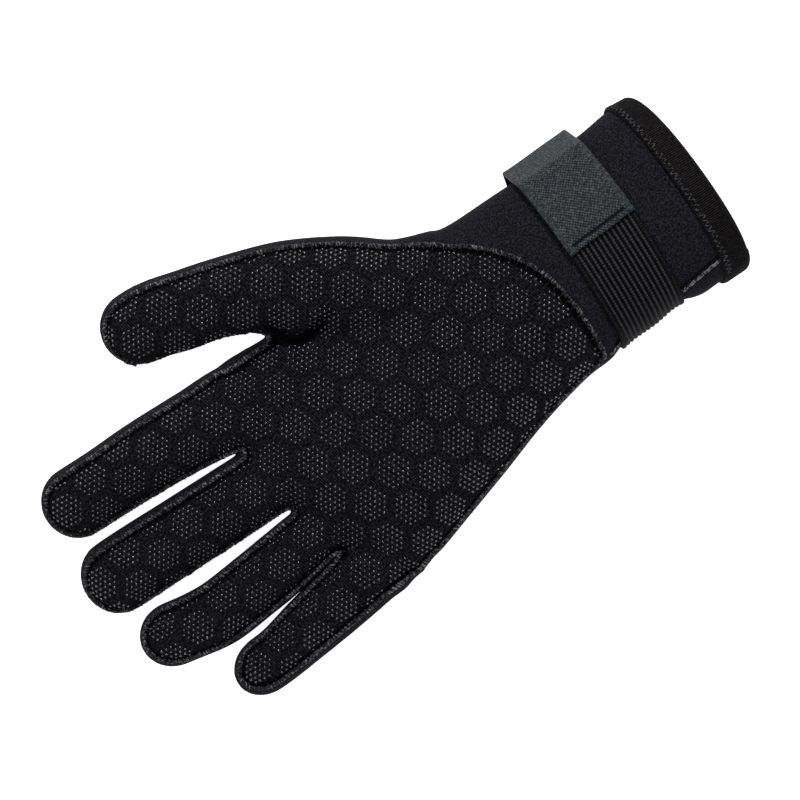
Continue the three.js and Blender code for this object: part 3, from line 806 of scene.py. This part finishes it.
# Opal acrylic sheet, lit a little from below: plain, pale and matt
opal = made_of(
    "opal_acrylic", {"tone": (1.0, "TexNoise", 400, {})}, 0.0,
    ((0.3, "#f4f4f4"), (0.7, "#f8f8f8")), (), roughness=0.9, ior=1.49, specular=0.5,
    more={"Emission Strength": 0.95, "Emission Color": linear("#ffffff")})
welt_thread = thread_material("grey_polyester_thread", "#050506", "#333338")
pale_thread = thread_material("pale_polyester_thread", "#0e0e10", "#84848c")
black_thread = thread_material("black_polyester_thread", "#08080a", "#525258")
stray_fibre = thread_material("stray_polyester_fibre", "#08080a", "#55555c")
# Woven polyester-covered rubber elastic: dull black cords, lighter on top, with painted shade
# in the hollows between them
elastic = woven_material("woven_elastic", 0.8, 0.35,
                         ((0.15, "#010101"), (0.5, "#0f0f10"), (0.92, "#454549")), 0.65, 0.04)
# Woven nylon back of hook tape: grey, slightly shiny, speckled by the hooks' roots
hook_tape = woven_material("woven_nylon_tape", 0.6, 0.95,
                           ((0.2, "#0a0b0d"), (0.5, "#262a2e"), (0.84, "#545a5f")), 0.55, 0.07)
# Grosgrain tape, polyester woven with a fine rib across it: dull, a little warm
grosgrain = woven_material("grosgrain_tape", 0.45, 0.7,
                           ((0.2, "#010101"), (0.5, "#0a0909"), (0.8, "#2a2726")), 0.65, 0.04)
# Brushed nylon loop tape: a deep black pile that takes the light softly
loop_pile = woven_material("brushed_loop_pile", 0.4, 0.7,
                           ((0.2, "#020202"), (0.5, "#0e0e10"), (0.8, "#232326")), 0.95, 0.03)


# ------ palm and back panels

skin_points, skin_groove_shade, skin_faces, is_palm = cut_skin(whole_form())
seam = skin_points[seam_loops(skin_faces, is_palm)[0]]
SURFACE = BVHTree.FromPolygons([Vector(p) for p in skin_points], skin_faces)


def closed_line(line, spacing, drawn):
    """A closed line at even spacing, with its small zigzags drawn out over a distance"""
    line = np.concatenate([line, line[:1]])
    even = respaced(line, int(lengths_along(line)[-1] / spacing) + 1)[:-1]
    width = int(drawn / spacing)
    return drawn_out(np.concatenate([even[-width - 1:], even, even[:width + 1]]), width)


def on_skin(line):
    """The line's nearest points on the skin, with the skin's normals there, evened out"""
    at, up = (np.array(found) for found in
              zip(*(SURFACE.find_nearest(Vector(p))[:2] for p in line)))
    for _ in range(6):
        up = unit(up + np.roll(up, 1, 0) + np.roll(up, -1, 0))
    return at, up


def store(piece, name, values):
    """Keeps a number or two for each point of a mesh as a map that its material reads"""
    corner = read(piece.data.loops, "vertex_index", 1, int)[:, 0]
    pairs = values if values.ndim == 2 else np.stack([values, values], -1)
    piece.data.uv_layers.new(name=name).uv.foreach_set("vector", pairs[corner].ravel())


def panel(name, chosen, material, slot, node):
    """One side of the skin, with a map of the painted shade in the seam's groove and the creases"""
    used, faces = part_of(skin_points, skin_faces, chosen)
    piece = make_piece(name, skin_points[used], faces, material, slot)
    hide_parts(node)
    # This map paints shade into the grooves and creases
    store(piece, "groove_and_shade", skin_groove_shade[used])
    return piece


def thicken(piece):
    """Gives a panel its foam, inwards from the skin"""
    foam = piece.modifiers.new("foam", "SOLIDIFY")
    foam.thickness = WALL * MM
    foam.offset = -1


FLAT_ROUNDS, FLAT_START, FLAT_PULL = 500, 2.5, 1.5


def flat_pattern(piece):
    """The panel laid flat: each point drawn until its distances are those on the foam"""
    mesh = piece.data
    points, normals = points_of(mesh), read(mesh.vertices, "normal")
    ties = [edges_of(mesh)]
    squares = np.array([p.vertices[:] for p in mesh.polygons if len(p.vertices) == 4])
    ties += [squares[:, [0, 2]], squares[:, [1, 3]]]
    a, b = np.concatenate(ties).T
    rest = np.linalg.norm(points[a] - points[b], axis=1)
    steep = (normals[:, :2] ** 2).sum(1)[:, None]
    flat = points[:, :2] + FLAT_START * steep * normals[:, :2]
    count = len(points)
    held = (np.bincount(a, minlength=count) + np.bincount(b, minlength=count))[:, None]
    for _ in range(FLAT_ROUNDS):
        run = flat[b] - flat[a]
        length = np.maximum(np.hypot(run[:, 0], run[:, 1]), 1e-6)
        pull = 0.5 * ((length - rest) / length)[:, None] * run
        moved = np.stack([
            np.bincount(a, pull[:, k], count) - np.bincount(b, pull[:, k], count)
            for k in range(2)
        ], 1)
        flat = flat + FLAT_PULL * moved / held
    store(piece, "flat_pattern", flat * MM)
    return flat


palm = panel("palm_panel_knit", is_palm, knit, "palm_knit", "palm_panel")
palm_flat = flat_pattern(palm)
back = panel("back_panel_jersey", ~is_palm, jersey, "smooth_neoprene", "back_panel")


# ------ grip dots

PATCH_PITCH, PATCH_TURN, DOT_PITCH = 14.7, 52, 1.96
DOT_TURN, DOTS_PER_PATCH_SIDE = 85.7, 4
DOT_RADIUS, DOT_HEIGHT, DOT_TILT = 0.54, 0.25, 0.11
DOT_WIDE, DOT_HIGH = (0.88, 1.08), (0.7, 1.4)  # least and most, as shares of these
DOT_CLEAR = 1.5  # from the seam
DOME_SIDES, DOME_FOOT, DOME_SHOULDER = 7, -0.3, (0.78, 0.62)


def circle(count):
    """Points evenly round a circle of radius one"""
    turns = np.linspace(0, 2 * math.pi, count, endpoint=False)
    return np.stack([np.cos(turns), np.sin(turns)], -1)


def hex_step(pitch, turn):
    """Two steps of a triangular lattice"""
    a, b = math.radians(turn), math.radians(turn + 60)
    return pitch * np.array(((math.cos(a), math.sin(a)), (math.cos(b), math.sin(b))))


def dot_places(low, high):
    """Flat places of the dots: hexagons of 37, a bare strip apart"""
    patch = hex_step(PATCH_PITCH, PATCH_TURN)
    dot = hex_step(DOT_PITCH, DOT_TURN)
    reach = DOTS_PER_PATCH_SIDE - 1
    own = [
        i * dot[0] + j * dot[1]
        for i in range(-reach, reach + 1) for j in range(-reach, reach + 1)
        if abs(i + j) <= reach
    ]
    many = range(-22, 23)
    centres = [i * patch[0] + j * patch[1] for i in many for j in many]
    places = np.array([c + o for c in centres for o in own])
    return places[((places > low) & (places < high)).all(axis=1)]


def grip_dots(piece, flat):
    """Small domes of silicone on the palm, wherever the flat pattern puts them"""
    mesh = piece.data
    mesh.calc_loop_triangles()
    corners = np.array([t.vertices[:] for t in mesh.loop_triangles])
    points, normals = points_of(mesh), read(mesh.vertices, "normal")
    sheet = BVHTree.FromPolygons(
        [Vector((x, y, 0)) for x, y in flat], [list(map(int, t)) for t in corners]
    )
    near_seam = KDTree(len(seam))
    for i, p in enumerate(seam):
        near_seam.insert(Vector(p), i)
    near_seam.balance()
    sides, ring = DOME_SIDES, circle(DOME_SIDES)
    rows = [np.column_stack([ring * wide, np.full(sides, high)])
            for wide, high in ((1, DOME_FOOT), DOME_SHOULDER)]
    dome = np.concatenate([*rows, [[0, 0, 1]]])
    skirt = grid_faces(2, sides, round_columns=True)[:, ::-1].tolist()
    cap = [[sides + k, sides + (k + 1) % sides, 2 * sides] for k in range(sides)]
    dome_faces = skirt + cap + [list(range(sides))[::-1]]
    draw = random.Random(7)
    made, faces = [], []
    for place in dot_places(flat.min(0), flat.max(0)):
        spot, _, index, distance = sheet.find_nearest(Vector((*place, 0)))
        if distance > 0.01:
            continue
        a, b, c = corners[index]
        basis = np.column_stack([flat[b] - flat[a], flat[c] - flat[a]])
        s, t = np.linalg.solve(basis, place - flat[a])
        mixed = np.array((1 - s - t, s, t))
        at = mixed @ points[[a, b, c]]
        if near_seam.find(Vector(at))[2] < DOT_CLEAR:
            continue
        tilt = [draw.uniform(-DOT_TILT, DOT_TILT) for _ in range(3)]
        up = unit(mixed @ normals[[a, b, c]] + tilt)
        across = unit(np.cross(up, (0.3, 1, 0.2)))
        ahead = np.cross(up, across)
        wide = DOT_RADIUS * draw.uniform(*DOT_WIDE)
        high = DOT_HEIGHT * draw.uniform(*DOT_HIGH)
        axes = np.array((across * wide, ahead * wide, up * high))
        first = len(dome) * len(made)
        made.append(at + dome @ axes)
        faces += [[first + k for k in f] for f in dome_faces]
    return make_piece("grip_dots", np.concatenate(made), faces, silicone, "palm_knit")


dots = grip_dots(palm, palm_flat)
thicken(palm)
thicken(back)


# ------ seams

def swept(line, up, profile, closed=True):
    """A tube along a line. profile gives, for each point of the line, places across and up."""
    before = np.roll(line, 1, 0)
    after = np.roll(line, -1, 0)
    if not closed:
        before[0], after[-1] = line[0], line[-1]
    across = unit(np.cross(unit(after - before), up))
    return line[:, None] + profile[..., :1] * across[:, None] + profile[..., 1:] * up[:, None]


def tube_faces(rows, columns, closed):
    faces = grid_faces(rows, columns, round_rows=closed, round_columns=True)[:, ::-1].tolist()
    if not closed:
        faces += [list(range(columns)), list(range((rows - 1) * columns, rows * columns))[::-1]]
    return faces


def tube_piece(name, tube, material, slot):
    """A tube that closes on itself, as a piece"""
    faces = tube_faces(*tube.shape[:2], True)
    return make_piece(name, tube.reshape(-1, 3), faces, material, slot)


def overlock_core(line, up):
    """The rolled edge under the overlocked seam: a low cord, uneven in width and height"""
    draw = np.random.default_rng(3)
    uneven = np.ones(len(line))
    for size in (3, 9):
        lump = np.convolve(np.tile(draw.normal(0, 1, len(line)), 3), np.hanning(size + 2), "same")
        uneven += 0.13 * lump[len(line):2 * len(line)] / math.sqrt(size / 2)
    uneven = np.clip(uneven, 0.6, 1.45)[:, None]
    across, rise = circle(10).T
    wide = WELT_WIDTH / 2 * across * uneven**0.5
    high = WELT_HEIGHT * np.where(rise > 0, rise * uneven, 0.5 * rise)
    tube = swept(line, up, np.stack([wide, high], -1))
    return tube_piece("palm_seam_core", tube, welt_thread, "smooth_neoprene")


def stitches(name, ends, material, slot, sides=5, rows=5):
    """Short threads over the surface, sunk in at their ends. ends gives for each its start, end,
    upward direction, thickness and height."""
    made, faces = [], []
    share = np.linspace(0, 1, rows)
    arch = np.sin(math.pi * share)
    one = np.array(tube_faces(rows, sides, False), dtype=object)
    for start, end, up, thick, rise in ends:
        line = start + np.outer(share, end - start) + np.outer(arch * rise - 0.12, up)
        fat = (0.55 + 0.45 * arch)[:, None, None]
        tube = swept(line, np.repeat(up[None], rows, 0), circle(sides) * thick * fat, False)
        first = len(made) * rows * sides
        made.append(tube.reshape(-1, 3))
        faces += [[first + k for k in f] for f in one]
    return make_piece(name, np.concatenate(made), faces, material, slot)


SEAM_STEP = 0.3
WELT_SHIFT, WELT_WIDTH, WELT_HEIGHT = 0.95, 1.6, 0.85  # the welt lies on the back panel's side
# Least and most of what is drawn at random along the seam: first in steps, then in millimetres
WOUND_EACH, CROSSING_EACH = (1.7, 4.2), (9.5, 13)
WOUND_OUT, WOUND_LEAN, WOUND_AWAY = (0.0, 0.35), (-0.3, 0.9), (-0.15, 0.15)
WOUND_THICK, WOUND_RISE = (0.14, 0.33), (-0.1, 0.3)
CROSSING_REACH, CROSSING_LEAN, CROSSING_THICK = (1.3, 1.7), (-0.5, 0.5), (0.13, 0.2)
FIBRE_HALF, FIBRE_THICK, FIBRE_RISE = (0.2, 0.5), (0.08, 0.15), (0.05, 0.25)
# The fibre spreads further over the back panel on the fingers, which start at this Y
FIBRE_START, FIBRE_END, FINGER_FIBRE_END, FINGERS_FROM = -0.8, 0.8, 2.6, 25


def uneven_steps(count, draw, each):
    """Places along a line at uneven distances"""
    at = 0.0
    while at < count - 2:
        yield int(at)
        at += draw.uniform(*each)


def palm_seam():
    """The overlocked seam all round the palm panel: a core, thread wound over it, threads that
    cross the groove to the palm, and stray fibre"""
    line, up = on_skin(closed_line(seam, SEAM_STEP, 2.0))
    run = unit(np.roll(line, -1, 0) - np.roll(line, 1, 0))
    to_back = unit(np.cross(run, up))
    welt = line + WELT_SHIFT * to_back
    core = overlock_core(welt, up)
    draw = random.Random(11)
    wound, crossing, fuzz = [], [], []
    for k in uneven_steps(len(line), draw, WOUND_EACH):
        reach = WELT_WIDTH / 2 + draw.uniform(*WOUND_OUT)
        lean = draw.uniform(*WOUND_LEAN)
        spot = welt[k] + run[k] * draw.uniform(*WOUND_AWAY)
        half = to_back[k] * reach + run[k] * lean
        wound.append((spot - half, spot + half, up[k], draw.uniform(*WOUND_THICK),
                      WELT_HEIGHT + draw.uniform(*WOUND_RISE)))
    for k in uneven_steps(len(line), draw, CROSSING_EACH):
        start = welt[k] - to_back[k] * 0.2 + up[k] * 0.4
        end = line[k] - to_back[k] * draw.uniform(*CROSSING_REACH)
        end = end + run[k] * draw.uniform(*CROSSING_LEAN) + up[k] * 0.45
        crossing.append((start, end, up[k], draw.uniform(*CROSSING_THICK), 0.12))
    for k in range(len(line) - 1):
        on_finger = line[k][1] > FINGERS_FROM
        side = draw.uniform(FIBRE_START, FINGER_FIBRE_END if on_finger else FIBRE_END)
        spot, normal, _, _ = SURFACE.find_nearest(Vector(welt[k] + to_back[k] * side))
        spot, normal = np.array(spot), np.array(normal)
        over_core = max(0.0, 1 - (side / 0.9) ** 2)
        spot = spot + normal * (0.12 + WELT_HEIGHT * over_core)
        turn = draw.uniform(0, math.pi)
        way = run[k] * math.cos(turn) + np.cross(run[k], normal) * math.sin(turn)
        half = way * draw.uniform(*FIBRE_HALF)
        fuzz.append((spot - half, spot + half, normal, draw.uniform(*FIBRE_THICK),
                     draw.uniform(*FIBRE_RISE)))
    return [
        core,
        stitches("palm_seam_overlock", wound, pale_thread, "smooth_neoprene"),
        stitches("palm_seam_crossings", crossing, welt_thread, "smooth_neoprene"),
        stitches("palm_seam_fibre", fuzz, stray_fibre, "smooth_neoprene", sides=3, rows=4),
    ]


seam_pieces = palm_seam()


SIDE_STITCH_ROWS = ((-72.5, -78.2), (-105.8, -125.6))  # Y of its parts that nothing covers
# Each stitch's length, gap, drift and thickness, least and most, and how far it is off the seam
STITCH_LENGTH, STITCH_GAP, STITCH_DRIFT = (2.9, 3.5), (0.15, 0.4), (-0.12, 0.12)
STITCH_THICK, STITCH_RISE, STITCH_OFF, STITCH_LEAST = (0.26, 0.36), 0.5, 0.3, 1.5


def cuff_side_seam():
    """Long pale stitches in pairs down the cuff's pinky side, but not under the strap"""
    spots, ups = [], []
    for x, y in respaced(np.array(SIDE_SEAM, float), 120):
        spot, normal, _, _ = SURFACE.ray_cast(Vector((x, y, 90)), Vector((0, 0, -1)))
        if spot:
            spots.append(spot)
            ups.append(normal)
    line, ups = np.array(spots), np.array(ups)
    at = lengths_along(line)
    draw = random.Random(4)
    ends = []
    for first, last in SIDE_STITCH_ROWS:
        place, stop = np.interp((-first, -last), -line[:, 1], at)
        while place < stop - STITCH_LEAST:
            length = min(draw.uniform(*STITCH_LENGTH), stop - place)
            start, end = read_off(line, at, (place, place + length))
            up = unit(read_off(ups, at, place + length / 2))
            side = unit(np.cross(end - start, up))
            for shift in (-STITCH_OFF, STITCH_OFF):
                drift = draw.uniform(*STITCH_DRIFT)
                ends.append((start + side * shift, end + side * (shift + drift), up,
                             draw.uniform(*STITCH_THICK), STITCH_RISE))
            place += length + draw.uniform(*STITCH_GAP)
    return stitches("cuff_side_stitches", ends, pale_thread, "smooth_neoprene", sides=6, rows=7)


side_stitches = cuff_side_seam()


# ------ strap, tab, patch and binding

def cuff_line(turns, distance, out):
    """Points round the cuff at turns, so far from the hem and out from the cuff"""
    return section_points(cuff_section(distance, out), turns)


def turn_at(distance, x, front, out=0.0):
    """The turn at which the cuff's front, or back, has a given X"""
    s = cuff_section(distance, out)
    u = float(np.clip((x - s["x"]) / s["half_width"], -1, 1))
    turn = math.acos(math.copysign(abs(u) ** (BODY_POWER / 2), u))
    return turn if front else 2 * math.pi - turn


def cuff_grid(start, end, distances, out, step):
    """A grid on the cuff between two turns, its rows at even distances round it"""
    middle = distances[len(distances) // 2]
    fine = np.linspace(start, end, 900)
    at = lengths_along(cuff_line(fine, middle, out))
    count = int(at[-1] / step) + 1
    turns = np.interp(np.linspace(0, at[-1], count), at, fine)
    grid = np.stack([cuff_line(turns, d, out) for d in distances], 1)
    return grid, np.linspace(0, at[-1], count)


def raised(inner, height):
    """The grid moved off the cuff along its own normals by a height at each point"""
    normal = grid_normals(inner)
    if (normal * away_from_cuff(inner)).sum() < 0:
        normal = -normal
    return inner + normal * height[..., None]


def band_piece(name, inner, outer, relief_and_shade, material, slot, node, round_rows=False):
    points, faces = slab(inner, outer, round_rows)
    middle = (inner + outer) / 2
    normal = grid_normals(middle)
    if ((outer - inner) * normal).sum() < 0:
        faces = faces[:, ::-1]
    piece = make_piece(name, points, faces, material, slot)
    # The stored relief paints the hollows darker than the raised parts: painted shade
    store(piece, "relief_and_shade", np.concatenate([np.zeros(relief_and_shade.size), relief_and_shade.ravel()]))
    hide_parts(node)
    return piece


def away_from_cuff(grid):
    """Directions from the middle of the cuff out to the points of a grid"""
    out = grid - (cuff_section(40)["x"], 0, 24)
    out[..., 1] = 0
    return out


ELASTIC_STEP, ELASTIC_RELIEF = 0.36, 0.55
CORD_PITCH, CORD_BEAD, LADDER_WIDTH, LADDER_RUNG = 1.87, 1.1, 1.6, 1.0


def elastic_strap():
    """Elastic with cords along it, beaded by the weave, and a ladder at each edge"""
    distances = STRAP_FROM_HEM + np.linspace(0, STRAP_WIDTH, 93)
    middle = STRAP_FROM_HEM + STRAP_WIDTH / 2
    start = turn_at(middle, STRAP_FRONT_END, True)
    end = turn_at(middle, STRAP_BACK_END, False)
    inner, along = cuff_grid(start, end, distances, GAP, ELASTIC_STEP)
    across = distances - STRAP_FROM_HEM
    cord_at = (across - LADDER_WIDTH) / CORD_PITCH
    rib = 1 - wave(cord_at)
    phase = along[:, None] / CORD_BEAD + 0.5 * np.floor(cord_at)
    beads = wave(phase)
    cord = rib**0.7 * (0.62 + 0.38 * beads)
    rung = wave(along / LADDER_RUNG)[:, None]
    to_edge = np.minimum(across, STRAP_WIDTH - across) / LADDER_WIDTH
    border = 0.35 + 0.4 * rung * np.sin(math.pi * np.clip(to_edge, 0, 1)) ** 2
    relief_and_shade = np.where(to_edge > 1, cord, border)
    outer = raised(inner, STRAP_THICK - ELASTIC_RELIEF + ELASTIC_RELIEF * relief_and_shade)
    return band_piece("elastic_strap_webbing", inner, outer, relief_and_shade, elastic,
                      "elastic_webbing", "elastic_strap")


def tab_line(distance, out, from_turn, to_turn, count):
    """The tab's path round the cuff's thumb side: along the cuff, straight off it to the fold and
    back"""
    leave = math.radians(34)
    front = cuff_line(np.linspace(to_turn, leave, 160), distance, out)
    back = cuff_line(np.linspace(-leave, from_turn, 200), distance, out)
    s = cuff_section(distance)
    tip = np.array((s["x"] + s["half_width"] + TAB_FOLD - 0.9, s["y"], s["z"]))
    share = np.linspace(0, 1, 60)[1:, None]
    there = front[-1] + share * (tip - front[-1])
    share = share[:-1]
    again = tip + share * (back[0] - tip)
    line = respaced(np.concatenate([front, there, again, back]), 4 * count)
    width = int(1.3 / (lengths_along(line)[-1] / (4 * count)))
    ends = np.concatenate([
        2 * line[0] - line[1:width + 2][::-1], line, 2 * line[-1] - line[-width - 2:-1][::-1]
    ])
    return respaced(drawn_out(ends, width), count)


TAB_STEP, TAB_YARN, SELVEDGE_YARN, SELVEDGE_WIDTH = 0.33, 1.3, 0.9, 2.4
RIDGE_HEIGHT, RIDGE_AT, RIDGE_HALF = 0.35, 1.0, 0.75  # the doubled front end
SEWN_DEPTH, SEWN_AT, SEWN_HALF, SEWN_FROM_EDGE = 0.7, 2.5, 0.35, 2.6  # the row sewn behind it
EDGE_ROUND, EDGE_HALF = 0.25, 0.35


def hook_tab():
    """Hook tape folded at the thumb side and back, its woven side out, with a sewn ridge at its
    front end"""
    start = STRAP_FROM_HEM + (STRAP_WIDTH - TAB_WIDTH) / 2
    below = 2 * GAP + STRAP_THICK
    middle = STRAP_FROM_HEM + STRAP_WIDTH / 2
    from_turn = -turn_at(middle, TAB_BACK_END, True, below)
    to_turn = turn_at(middle, TAB_FRONT_END, True, below)
    across = np.linspace(0, TAB_WIDTH, 90)
    length = lengths_along(tab_line(middle, below, from_turn, to_turn, 300))[-1]
    count = int(length / TAB_STEP)
    rise = TAB_RISE * np.linspace(0, 1, count)
    inner = np.stack([tab_line(start + a + TAB_RISE / 2, below + 0.1, from_turn, to_turn, count)
                      for a in across], 1)
    inner[..., 1] += (rise - TAB_RISE / 2)[:, None]
    along = np.linspace(0, length, count)
    a, b = np.meshgrid(along, across, indexing="ij")
    weave = (wave((a + b) / TAB_YARN) + wave((a - b) / TAB_YARN)) / 2
    edge = np.minimum(b, TAB_WIDTH - b)
    selvedge = wave(a / SELVEDGE_YARN)
    relief_and_shade = np.where(edge < SELVEDGE_WIDTH, 0.4 + 0.3 * selvedge, weave)
    height = TAB_THICK - 0.25 + 0.14 * relief_and_shade
    height += RIDGE_HEIGHT * np.exp(-(((a - RIDGE_AT) / RIDGE_HALF) ** 4))
    sewn = (edge > SEWN_FROM_EDGE) * bell((a - SEWN_AT) / SEWN_HALF)
    height -= SEWN_DEPTH * sewn
    # The sewn row is painted darker, as shade in its recess
    relief_and_shade = relief_and_shade * (1 - sewn) - 0.6 * sewn
    height -= EDGE_ROUND * bell(edge / EDGE_HALF)
    outer = raised(inner, height)
    return band_piece("hook_tab_tape", inner, outer, relief_and_shade, hook_tape, "hook_tape", "hook_tab")


PILE_STEP, PILE_HEIGHT = 0.4, 0.5


def loop_patch():
    """Loop tape sewn flat on the cuff's back, where the tab comes down"""
    start = STRAP_FROM_HEM + (STRAP_WIDTH - PATCH_WIDTH) / 2
    distances = start + np.linspace(0, PATCH_WIDTH, 66)
    from_turn = turn_at(start, PATCH_BACK_START, False)
    to_turn = turn_at(start, PATCH_BACK_END, False)
    inner, along = cuff_grid(from_turn, to_turn, distances, GAP, PILE_STEP)
    draw = np.random.default_rng(5)
    pile = draw.uniform(0, 1, inner.shape[:2])
    pile = (pile + np.roll(pile, 1, 0) + np.roll(pile, 1, 1)) / 3
    outer = raised(inner, STRAP_THICK - PILE_HEIGHT + PILE_HEIGHT * pile)
    return band_piece("loop_patch_pile", inner, outer, pile, loop_pile, "loop_tape", "loop_patch")


BINDING_STEP, BINDING_RIB = 0.2, 0.8  # round the hem
LAP_X, LAP_WIDTH, LAP_HEIGHT = -24.5, 14, 0.4


def hem_binding():
    """Ribbed tape folded over the hem, its ends overlapping at the front pinky corner"""
    turns_fine = np.linspace(0, 2 * math.pi, 2400)
    at = lengths_along(cuff_line(turns_fine, 3, HEM_OUT))
    count = int(at[-1] / BINDING_STEP)
    around = np.arange(count) * at[-1] / count
    turns = np.interp(around, at, turns_fine)
    near, far = GAP, GAP + BINDING_THICK
    thick = WALL / 2 + near
    bend = np.radians(np.arange(-80, 81, 20))
    outside = [(BINDING_WIDTH - d, near) for d in np.arange(0, BINDING_WIDTH - 0.9, 0.9)]
    fold = [(1.1 - 1.4 * math.cos(t), -WALL / 2 - thick * math.sin(t)) for t in bend]
    inside = [(d, -WALL - near) for d in np.arange(0.9, BINDING_WIDTH + 0.1, 0.9)]
    path = outside + fold + inside
    inner = np.stack([cuff_line(turns, d, out) for d, out in path], 1)
    rib = wave(around / BINDING_RIB)
    lap_at = np.interp(turn_at(3, LAP_X, True), turns_fine, at)
    columns = np.arange(len(path))
    lap = around[:, None] - lap_at + 0.35 * (columns[None] - 6)
    lapped = 1 / (1 + np.exp(-lap / 0.25)) * (1 / (1 + np.exp((lap - LAP_WIDTH) / 2)))
    relief_and_shade = np.repeat(rib[:, None], len(path), 1)
    height = BINDING_THICK - 0.18 + 0.16 * relief_and_shade + LAP_HEIGHT * lapped
    edge = np.minimum(columns, len(path) - 1 - columns)
    height = height - 0.3 * (edge == 0)
    grid = np.concatenate([inner[-1:], inner, inner[:1]])
    normal = grid_normals(grid)[1:-1]
    out = away_from_cuff(inner)
    sign = np.sign((normal[:, 2] * out[:, 2]).sum())
    outer = inner + sign * normal * height[..., None]
    return band_piece("hem_binding_tape", inner, outer, relief_and_shade, grosgrain, "hem_tape",
                      "hem_binding", round_rows=True)


def hem_zigzag():
    """The zigzag thread that sews the tape to the cuff, a little tooth each 2.2 mm"""
    fine = np.linspace(0, 2 * math.pi, 2400)
    tape_side = cuff_line(fine, BINDING_WIDTH - 1.3, HEM_OUT)
    at = lengths_along(tape_side)
    teeth = int(at[-1] / 2.2)
    around = np.arange(teeth * 8) * at[-1] / (teeth * 8)
    turns = np.interp(around, at, fine)
    share = np.abs((np.arange(teeth * 8) % 8) / 4 - 1)[:, None]
    share = ease(share)
    near = cuff_line(turns, BINDING_WIDTH - 2.3, HEM_OUT + 0.02)
    far = cuff_line(turns, BINDING_WIDTH - 0.7, HEM_OUT + 0.02)
    line = near + (far - near) * share
    thick = 0.13 + 0.09 * np.cos(math.pi * share) ** 2
    tube = swept(line, unit(away_from_cuff(line)), circle(6) * thick[:, None])
    return tube_piece("hem_zigzag_thread", tube, black_thread, "hem_tape")


strap = elastic_strap()
tab = hook_tab()
patch = loop_patch()
hem = hem_binding()
zigzag = hem_zigzag()


# Name, place and side in metres, and watts. The photograph's top edge lies towards +X and -Y.
LAMPS = (("key", (0.6, -0.5, 0.9), 0.24, 9), ("fill", (-0.9, 0.3, 1.1), 0.9, 4),
         ("top", (0.2, 0.5, 1.2), 0.5, 4.5))
BOARD_HALF = 3000


def studio():
    """A pale board under the glove and soft light from above"""
    corners = [(x * BOARD_HALF, y * BOARD_HALF, 0) for x, y in ((-1, -1), (1, -1), (1, 1), (-1, 1))]
    board = make_piece("studio_floor", corners, [(0, 1, 2, 3)], opal)
    for name, place, side, watts in LAMPS:
        data = bpy.data.lights.new(name, "AREA")
        data.size, data.energy = side, watts
        lamp = placed(name, data)
        lamp.location = place
        lamp.rotation_euler = (-Vector(place)).to_track_quat("-Z", "Y").to_euler()
    world = bpy.data.worlds.new("studio")
    bpy.context.scene.world = world
    world.use_nodes = True
    sky = world.node_tree.nodes["Background"]
    sky.inputs["Color"].default_value = linear("#ffffff")
    sky.inputs["Strength"].default_value = 0.12
    bpy.context.scene.view_settings.view_transform = "Standard"


studio()
